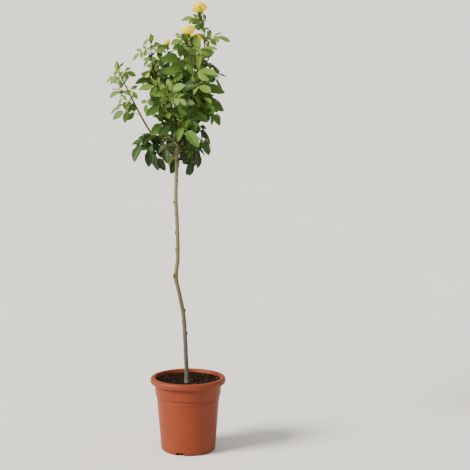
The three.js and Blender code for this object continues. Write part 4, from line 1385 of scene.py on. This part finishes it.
def leaflet_shape(number, fold, hang, wave):
    """A rose leaflet one unit long: oval, with a drawn out tip and a saw edge, folded along its
    midrib, hanging at its tip and a little wavy"""
    stations = np.linspace(0, 1, 9)
    width = stations**0.62 * (1 - stations) ** 0.85
    half = width / width.max() * SHOWN_WIDTH / 2
    teeth = np.where(np.arange(9) % 2 == 1, 1.06, 0.95)
    bulge = np.sin(math.pi * stations)
    grid = np.zeros((9, 5, 3))
    for j, column in enumerate((-1, -0.5, 0, 0.5, 1)):
        y = half * column * (teeth if abs(column) == 1 else 1)
        ripple = wave * abs(column) * np.sin(stations * 9 + column * 2) * bulge
        grid[:, j, 0] = stations + 0.05 * abs(column) * bulge
        grid[:, j, 1] = y
        grid[:, j, 2] = np.abs(y) * fold - hang * stations**1.8 + ripple
    return blade(f"{number}_leaflet", grid, LEAFLET_THICKNESS, two_sided=True)


def shoot_line(curve, foot_radius, tip_radius, nodes=()):
    """Points and radii of a shoot that swells a little where each leaf leaves it"""
    long = length_of(curve)
    shares = np.linspace(0, 1, max(8, round(long / 5)))
    radii = foot_radius + (tip_radius - foot_radius) * shares
    for node in nodes:
        radii = radii + NODE_SWELLING * np.exp(-(((shares - node) * long / NODE_LENGTH) ** 2))
    return point_on(curve, shares), radii


def stalk_line(leaf):
    """Points and radii of a leaf's stalk, with its broad foot"""
    shares = np.linspace(0, 1, 9)
    foot = STALK_FOOT * np.exp(-shares * leaf.length / STALK_FOOT_LENGTH)
    return point_on(leaf.stalk, shares), leaf.size**0.5 * (1 - 0.45 * shares) + foot


def leaflet_spots(leaf, finish, chance):
    """Where a leaf's leaflets lie: each hangs and turns a little on its own"""
    for station, angle, long in leaf.leaflets:
        point, along, left, normal = (part[0] for part in leaf.frame_at(station))
        turn = angle + (chance() - 0.5) * LEAFLET_TURN
        way = along * math.cos(turn) + left * math.sin(turn)
        face = turned_about(normal, way, (chance() - 0.5) * LEAFLET_TILT)
        droop = DROOP_LEAST + DROOP_CHANCE * chance()
        across = np.cross(face, way)
        way, face = turned_about(way, across, droop), turned_about(face, across, droop)
        stretch = (long * (0.96 + 0.1 * chance()), long * (0.88 + 0.14 * chance()), long)
        kind = int(chance() * len(LEAFLETS))
        yield Spot(point + way * NECK, (way, np.cross(face, way), face), stretch, kind, finish)


def green_of(leaf, mass, fine, chance):
    """Which green a leaf is: dark low in the crown and in its heart, where leaves are older and
    painted shade darkens them, darker with painted shade at its back, light at its top and on its
    outside, where leaves are fresh and painted light brightens them, and lighter with painted light
    on the arch and the low right mass"""
    x, y, height = leaf.stalk[2]
    light = (height - DARK_HEIGHT) / LIGHT_RISE
    light += (math.hypot(x - CROWN_AXIS[0], y) - HEART_RADIUS) / LIGHT_REACH
    light += (chance() - 0.5) * GREEN_CHANCE + PAINTED_LIGHT_MASSES.get(mass.name, 0)
    light += (LIGHTER_FINE if fine else 0) - (PAINTED_SHADE_BACK if y > 20 else 0)
    last = len(LEAF_ROUGHNESS) - 1
    return int(min(last, max(0, math.floor(light * last + 0.6))))


def prickle_shape():
    """A hooked prickle one unit long, broad at its foot, that points down the shoot"""
    points = []
    for share in np.linspace(0, 1, 5):
        radius = 0.26 * (1 - share) ** 1.2 + 0.012
        for turn in np.linspace(0, 2 * math.pi, 6, endpoint=False):
            y, z = radius * 0.55 * math.cos(turn), radius * 1.5 * math.sin(turn)
            points.append((share, y, z - 0.28 * share**2))
    points += [(0, 0, 0), (1.02, 0, -0.29)]
    mesh = recalculated(mesh_of("0_prickle", np.array(points) / MM, tube_faces(5, 6)))
    return bpy.data.objects.new("0_prickle", mesh)


def prickle_spots(curve, foot_radius, tip_radius, spacing, size, seed):
    """Prickles along a shoot: each points outwards and is hooked down"""
    chance = chances(seed)
    count = int(length_of(curve) / spacing)
    for index in range(count):
        share = (index + chance()) / count
        along = way_along(curve, share)
        outward = square_to(along, across_axis(along))
        outward = turned_about(outward, along, 2 * math.pi * chance())
        radius = foot_radius + (tip_radius - foot_radius) * share
        point = point_on(curve, share) + outward * (radius - 0.3)
        stretch = (size * (0.6 + 0.5 * chance()),) * 3
        yield Spot(point, (outward, np.cross(along, outward), along), stretch)


def make_mass(number, plants, flush, shapes, materials):
    """One mass: its shoots and stalks as one mesh, and its leaflets as another"""
    mass = MASSES[number]
    solid_rule, fine_rule = plants
    leaves, lines = [], []
    for order, shoot in enumerate(mass.shoots):
        curve = solid_rule.shoots[number][order]
        foot = BOUGH_TIP_RADIUS * (0.8 if order else 1)
        nodes = [leaf_share(shoot, index) for index in range(shoot.leaves)]
        lines.append(shoot_line(curve, foot, SHOOT_TIP_RADIUS, nodes))
        found = [shoot_leaf(solid_rule, number, order, index) for index in range(shoot.leaves)]
        leaves += [(leaf, False) for leaf in found if leaf]
    # the finer leaves keep clear of the solid ones, but may come nearer to them
    centres, radii = solid_rule.taken[number]
    fine_rule.taken[number] = [centres, radii * flush]
    for curve, small in fine_twigs(fine_rule, number):
        lines.append(shoot_line(curve, *TWIG_RADII))
        leaves += [(leaf, True) for leaf in small]
    leaves += [(leaf, False) for leaf in edge_leaves(solid_rule, number)]
    spots = []
    for index, (leaf, fine) in enumerate(leaves):
        chance = chances(FOLIAGE_SEED + 1000 * number + index)
        lines.append(stalk_line(leaf))
        spots += leaflet_spots(leaf, green_of(leaf, mass, fine, chance), chance)
    greens, underside, bark = materials
    foliage = scattered(f"foliage_{mass.name}", spots, shapes, greens, underside)
    finished(foliage, "foliage", f"leaves_{mass.name}")
    finished(limbs_along(f"shoots_{mass.name}", lines, bark), "foliage")
    return len(leaves)


def make_foliage(plants, settings):
    greens = [
        leaf_skin(f"leaf_skin_{shade}", getattr(settings, f"leaf_{shade}"), roughness)
        for shade, roughness in LEAF_ROUGHNESS.items()
    ]
    shapes = [leaflet_shape(number, *form) for number, form in enumerate(LEAFLETS)]
    materials = (greens, leaf_underside(), green_rose_bark("shoot_bark", "#4c6024", "#6a3a2c"))
    numbers = range(len(MASSES))
    counts = [make_mass(number, plants, settings.flush, shapes, materials) for number in numbers]
    drop_objects(shapes)
    print("leaves in each mass", counts)
    return sum(counts)


def make_prickles(plant):
    spots = []
    for number, (bough, shoots) in enumerate(zip(plant.boughs, plant.shoots)):
        radii = (BOUGH_FOOT_RADIUS, BOUGH_TIP_RADIUS)
        spots += prickle_spots(bough, *radii, **BOUGH_PRICKLES, seed=BOUGH_PRICKLE_SEED + number)
        radii = (BOUGH_TIP_RADIUS * 0.85, SHOOT_TIP_RADIUS)
        for order, curve in enumerate(shoots):
            seed = SHOOT_PRICKLE_SEED + 100 * number + order
            spots += prickle_spots(curve, *radii, **SHOOT_PRICKLES, seed=seed)
    shape = prickle_shape()
    piece = scattered("prickles", spots, [shape], [rose_prickle()])
    drop_objects([shape])
    return finished(piece, "bark")


# The blooms

# Petals, all for a bloom of radius one: the midline's four control points as (radius, height), the
# half angle that a petal takes round the axis, and how much its edge is ruffled
PETALS = {
    "0_petal_outer": ([(0.05, 0), (0.98, 0.0), (1.0, 0.66), (1.1, 0.7)], 0.8, 0.14),
    "1_petal_second": ([(0.05, 0), (0.92, 0.1), (0.92, 0.8), (0.96, 1.02)], 0.78, 0.16),
    "2_petal_third": ([(0.05, 0), (0.8, 0.15), (0.8, 0.8), (0.74, 1.2)], 0.8, 0.18),
    "3_petal_inner": ([(0.05, 0), (0.6, 0.2), (0.66, 0.8), (0.48, 1.32)], 0.92, 0.2),
    "4_petal_heart": ([(0.05, 0), (0.35, 0.3), (0.46, 0.8), (0.22, 1.4)], 1.2, 0.24),
    "5_petal_furled": ([(0.08, 0), (1.0, 0.2), (0.95, 1.1), (0.5, 1.7)], 0.85, 0.1),
    "7_bud_sepal": ([(0.2, 0), (1.05, 0.2), (0.95, 1.2), (0.08, 2.9)], 0.6, 0.0),
}
BUD_BODY = [(0, 0), (0.5, 0.05), (0.78, 0.6), (0.66, 1.2), (0.3, 2.1), (0, 2.5)]
HIP = [(0, -0.6), (0.3, -0.5), (0.75, -0.1), (0.9, 0.35), (0.75, 0.7), (0.45, 0.85), (0, 0.9)]
SEPAL_BEND = 1.1

# The whorls of a bloom, an opening bud and a closed bud: how many, their shape and finish, their
# first turn, size and lean, and how high they stand
WHORLS = {
    "bloom": [
        (1, 8, 2, 0.0, 0.4, 0.0, -0.1),
        (5, 9, 2, 0.3, 0.95, 0.45, 0.1),
        (5, 0, 0, 0.0, 0.96, 0.02, 0.06),
        (5, 1, 0, 0.5, 0.95, 0.0, 0.06),
        (5, 2, 0, 0.2, 0.96, -0.02, 0.06),
        (4, 3, 1, 0.6, 0.96, 0.0, 0.06),
        (3, 4, 1, 0.1, 0.96, 0.0, 0.06),
    ],
    "opening": [
        (1, 8, 2, 0.0, 0.6, 0.0, -0.3),
        (5, 9, 2, 0.2, 1.5, -0.5, 0.1),
        (5, 5, 0, 0.0, 1.0, 0.04, -0.05),
        (4, 5, 0, 0.4, 0.86, 0.0, 0.1),
        (3, 5, 1, 0.1, 0.68, 0.0, 0.3),
    ],
    "bud": [
        (1, 8, 2, 0.0, 0.62, 0.0, -0.35),
        (1, 6, 3, 0.0, 1.0, 0.0, 0.0),
        (5, 7, 2, 0.2, 1.0, 0.0, 0.0),
    ],
}
# The petals reach a little less far than the solid bloom. Each lies and grows a little on its
# own, and a bloom turns up from its shoot.
SHOWN_BLOOM = 0.94
WHORL_WOBBLE, WHORL_GROWTH = 0.44, 0.6
BLOOM_LIFT = 1.5
BLOOM_SEED = 7000
PETAL_GRID, PETAL_THICKNESS = (8, 7), 0.022
SEPAL_THICKNESS = 0.03
TURNED_SIDES = 12


def petal_shape(name, profile, spread, ruffle):
    """A petal or sepal that curves round the axis, from its foot to its rounded edge"""
    rows, columns = PETAL_GRID
    grid = np.zeros((rows, columns, 3))
    for i, share in enumerate(np.linspace(0, 1, rows)):
        for j, v in enumerate(np.linspace(1, -1, columns)):
            s = share * (1 - 0.06 * v * v - 0.14 * v**6)
            weights = np.array(((1 - s) ** 3, 3 * s * (1 - s) ** 2, 3 * s * s * (1 - s), s**3))
            radius, height = weights @ np.array(profile)
            radius *= 1 + ruffle * s * s * (0.6 * v * v + 0.4 * math.sin(3.2 * v + 2 * spread))
            turn = v * spread * (0.4 + 0.6 * math.sin(min(1, 1.2 * share) * math.pi / 2))
            grid[i, j] = (radius * math.cos(turn), radius * math.sin(turn), height)
    return blade(name, grid, PETAL_THICKNESS)


def turned_shape(name, points):
    """A turned form one unit across"""
    mesh = recalculated(turned_mesh(name, np.array(points) / MM, TURNED_SIDES))
    return bpy.data.objects.new(name, mesh)


def sepal_shape(name, back):
    """A narrow pointed sepal one unit long that bends back by an angle"""
    stations = np.linspace(0, 1, 7)
    half = 0.16 * (1 - stations) ** 0.7 * (0.75 + 0.6 * stations)
    grid = np.zeros((7, 3, 3))
    for j, column in enumerate((-1, 0, 1)):
        grid[:, j, 0] = 0.06 + np.sin(stations * back) / back
        grid[:, j, 1] = half * column
        grid[:, j, 2] = (np.cos(stations * back) - 1) / back - 0.05 * abs(column)
    return blade(name, grid, SEPAL_THICKNESS)


def bloom_shapes():
    """The shapes of all whorls, by their names' numbers"""
    shapes = [petal_shape(name, *form) for name, form in PETALS.items()]
    shapes.append(turned_shape("6_bud_body", BUD_BODY))
    shapes.append(turned_shape("8_hip", HIP))
    shapes.append(sepal_shape("9_sepal_back", SEPAL_BEND))
    return shapes


def bloom_spots(end, foot, axis, seed):
    """A bloom, an opening bud or a closed bud at a shoot's end, whorl by whorl: the x directions of
    its petals and sepals point outwards"""
    chance = chances(seed)
    radius = BLOOM_RADII[end] * (SHOWN_BLOOM if end == "bloom" else 1)
    reference = square_to(axis, across_axis(axis))
    for count, kind, finish, first, size, lean, rise in WHORLS[end]:
        wobble = WHORL_WOBBLE if count > 1 else 0
        start = first + chance()
        for k in range(count):
            aside, tilt, growth = ((chance() - 0.5) * wobble for _ in range(3))
            outward = turned_about(reference, axis, 2 * math.pi * (k + start) / count + aside)
            up = turned_about(axis, np.cross(axis, outward), lean + tilt)
            x = square_to(up, outward)
            stretch = (radius * size * (1 + growth * WHORL_GROWTH),) * 3
            place = foot + axis * radius * rise
            yield Spot(place, (x, np.cross(up, x), up), stretch, kind, finish)


def make_blooms(plant, settings):
    finishes = [
        petal("rose_petal", settings.petal_foot, settings.petal_edge, settings.petal_blush),
        petal("rose_petal_heart", settings.heart_foot, settings.heart_edge, settings.heart_blush),
        leaf_skin("sepal_skin", "#3f6018", 0.5),
        bud_skin(),
    ]
    spots = []
    for number, mass in enumerate(MASSES):
        for order, (shoot, curve) in enumerate(zip(mass.shoots, plant.shoots[number])):
            if shoot.end:
                axis = unit(way_along(curve, 1.0) + UP * BLOOM_LIFT)
                spots += bloom_spots(shoot.end, curve[2], axis, BLOOM_SEED + 10 * number + order)
    shapes = bloom_shapes()
    piece = scattered("blooms", spots, shapes, finishes, finishes[0])
    drop_objects(shapes)
    return finished(piece, "foliage")


# Settings


def colour_setting(name, description, hex_colour):
    default = linear(hex_colour)
    return FloatVectorProperty(name=name, description=description, default=default, subtype="COLOR")


class RosePotSettings(bpy.types.PropertyGroup):
    segments: IntProperty(
        name="Pot Segments", description="Facets round the pot", default=POT_SEGMENTS, min=24
    )
    plastic: colour_setting("Plastic", "The lighter tone of the pot's plastic", "#7a361c")
    plastic_deep: colour_setting("Deep Plastic", "The deeper tone of the pot's plastic", "#722f18")
    crumbs: IntProperty(
        name="Crumbs", description="Loose lumps of peat on the compost", default=620, min=0
    )
    chips: IntProperty(
        name="Bark Chips", description="Flat chips of bark on the compost", default=46, min=0
    )


class RoseStemSettings(bpy.types.PropertyGroup):
    rings: IntProperty(name="Stem Rings", description="Rings along it", default=560, min=40)
    sides: IntProperty(name="Stem Sides", description="Facets round it", default=36, min=8)


class RoseCrownSettings(bpy.types.PropertyGroup):
    clearance: FloatProperty(
        name="Fine Clearance",
        description="How far the finer leaves keep from the stem and the boughs",
        default=FINE_CLEARANCE * MM,
        min=0,
        unit="LENGTH",
    )
    flush: FloatProperty(
        name="Second Flush",
        description="How near the finer leaves come to the first ones, as a share of their room",
        default=0.55,
        min=0,
        max=1,
        subtype="FACTOR",
    )


for key, value in CROWN_COLOURS.items():
    words = key.replace("_", " ")
    setting = colour_setting(words.title(), f"Colour of the {words}", value)
    RoseCrownSettings.__annotations__[key] = setting


class RoseStageSettings(bpy.types.PropertyGroup):
    floor_side: FloatProperty(
        name="Floor Side", description="Side of the square floor", default=600, unit="LENGTH"
    )
    key_strength: FloatProperty(
        name="Key Light", description="Strength of the soft light from the left", default=7.4
    )
    key_width: FloatProperty(
        name="Key Width",
        description="How wide the soft light is, seen from the plant",
        default=math.radians(24),
        subtype="ANGLE",
    )
    room_light: FloatProperty(
        name="Room Light", description="How much light comes from all round", default=0.8
    )
    backdrop: FloatProperty(
        name="Backdrop", description="How bright the white studio looks behind it", default=1.6
    )
    camera_pitch: FloatProperty(
        name="Camera Pitch",
        description="How far the camera looks down",
        default=math.radians(8.58),
        subtype="ANGLE",
    )
    camera_place: FloatVectorProperty(
        name="Camera Place",
        description="Where the camera stands",
        default=(0.150, -5.0, 1.45),
        unit="LENGTH",
    )
    focal_length: FloatProperty(
        name="Focal Length", description="Focal length in millimetres", default=123
    )


class RoseSettings(bpy.types.PropertyGroup):
    pot: PointerProperty(type=RosePotSettings)
    stem: PointerProperty(type=RoseStemSettings)
    crown: PointerProperty(type=RoseCrownSettings)
    stage: PointerProperty(type=RoseStageSettings)


# Operators


class ROSE_OT_pot(bpy.types.Operator):
    """Make the moulded pot with its rolled rim and drain notches"""

    bl_idname = "rose.pot"
    bl_label = "Pot"

    def execute(self, context):
        make_pot(context.scene.rose.pot)
        return {"FINISHED"}


class ROSE_OT_compost(bpy.types.Operator):
    """Fill the pot with compost and strew crumbs and bark chips on it"""

    bl_idname = "rose.compost"
    bl_label = "Compost"

    def execute(self, context):
        make_compost(context.scene.rose.pot)
        return {"FINISHED"}


class ROSE_OT_stem(bpy.types.Operator):
    """Grow the bare stem with its bud scars and its graft"""

    bl_idname = "rose.stem"
    bl_label = "Stem"

    def execute(self, context):
        make_stem(context.scene.rose.stem)
        return {"FINISHED"}


class ROSE_OT_boughs(bpy.types.Operator):
    """Grow the boughs from the graft to their masses of foliage"""

    bl_idname = "rose.boughs"
    bl_label = "Boughs"

    def execute(self, context):
        make_boughs(Plant(False, LIMB_CLEARANCE))
        return {"FINISHED"}


class ROSE_OT_foliage(bpy.types.Operator):
    """Grow every mass: its shoots, its leaves and the finer twigs between them"""

    bl_idname = "rose.foliage"
    bl_label = "Foliage"

    def execute(self, context):
        settings = context.scene.rose.crown
        plants = Plant(False, LIMB_CLEARANCE), Plant(True, settings.clearance / MM, HEART_OUTLINE)
        if make_foliage(plants, settings) < len(MASSES):
            raise RuntimeError("the crown has masses without leaves")
        return {"FINISHED"}


class ROSE_OT_prickles(bpy.types.Operator):
    """Set prickles on the boughs and the shoots"""

    bl_idname = "rose.prickles"
    bl_label = "Prickles"

    def execute(self, context):
        make_prickles(Plant(False, LIMB_CLEARANCE))
        return {"FINISHED"}


class ROSE_OT_blooms(bpy.types.Operator):
    """Open the blooms and set the buds on the shoots' ends"""

    bl_idname = "rose.blooms"
    bl_label = "Blooms"

    def execute(self, context):
        make_blooms(Plant(False, LIMB_CLEARANCE), context.scene.rose.crown)
        return {"FINISHED"}


# From the plant to the key light, and the camera's sensor and reach
KEY_DIRECTION = (-2.6, -1.5, 2.0)
SENSOR_WIDTH, CLIP_END = 36, 2000


class ROSE_OT_stage(bpy.types.Operator):
    """Set up the pale floor, the soft studio light and the camera"""

    bl_idname = "rose.stage"
    bl_label = "Stage"

    def execute(self, context):
        scene, settings = context.scene, context.scene.rose.stage
        half = settings.floor_side / MM / 2
        corners = [(-half, -half, 0), (half, -half, 0), (half, half, 0), (-half, half, 0)]
        mesh = mesh_of("studio_floor", corners, [(0, 1, 2, 3)], smooth=False)
        new_object("studio_floor", mesh, studio_paper())
        scene.world = bpy.data.worlds.new("studio_walls")
        scene.world.use_nodes = True
        tree = scene.world.node_tree
        walls = tree.nodes["Background"].inputs
        walls["Color"].default_value = rgba("#fbf8f4")
        # the walls look brighter to the camera than they light the plant
        seen = add(tree, "ShaderNodeLightPath", out="Is Camera Ray")
        strengths = (seen, 0, 1, settings.room_light, settings.backdrop)
        add(tree, RANGE, strengths, to=walls["Strength"])
        light = bpy.data.lights.new("key", "SUN")
        light.energy = settings.key_strength
        light.angle = settings.key_width
        light.color = linear("#fff6ea")
        key = new_object("key", light)
        key.rotation_euler = Vector(KEY_DIRECTION).to_track_quat("Z", "Y").to_euler()
        lens = bpy.data.cameras.new("camera")
        lens.lens = settings.focal_length
        lens.sensor_width = SENSOR_WIDTH
        lens.clip_end = CLIP_END
        scene.camera = new_object("camera", lens)
        scene.camera.location = settings.camera_place
        scene.camera.rotation_euler = (math.pi / 2 - settings.camera_pitch, 0, 0)
        return {"FINISHED"}


OPERATORS = (
    ROSE_OT_pot,
    ROSE_OT_compost,
    ROSE_OT_stem,
    ROSE_OT_boughs,
    ROSE_OT_foliage,
    ROSE_OT_prickles,
    ROSE_OT_blooms,
    ROSE_OT_stage,
)


class VIEW3D_PT_rose(bpy.types.Panel):
    """The rose's parts in the sidebar of the 3D view"""

    bl_label = "Standard Rose"
    bl_space_type = "VIEW_3D"
    bl_region_type = "UI"
    bl_category = "Rose"

    def draw(self, context):
        settings = context.scene.rose
        for operator in OPERATORS:
            self.layout.operator(operator.bl_idname)
        for group in (settings.pot, settings.stem, settings.crown, settings.stage):
            box = self.layout.box()
            for key in group.bl_rna.properties.keys():
                if key not in ("rna_type", "name"):
                    box.prop(group, key)


CLASSES = (
    RosePotSettings,
    RoseStemSettings,
    RoseCrownSettings,
    RoseStageSettings,
    RoseSettings,
    *OPERATORS,
    VIEW3D_PT_rose,
)


def register():
    for item in CLASSES:
        bpy.utils.register_class(item)
    bpy.types.Scene.rose = PointerProperty(type=RoseSettings)


def unregister():
    del bpy.types.Scene.rose
    for item in reversed(CLASSES):
        bpy.utils.unregister_class(item)


def main():
    register()
    bpy.ops.rose.pot()
    bpy.ops.rose.compost()
    bpy.ops.rose.stem()
    bpy.ops.rose.boughs()
    bpy.ops.rose.foliage()
    bpy.ops.rose.prickles()
    bpy.ops.rose.blooms()
    bpy.ops.rose.stage()


if __name__ == "__main__":
    main()
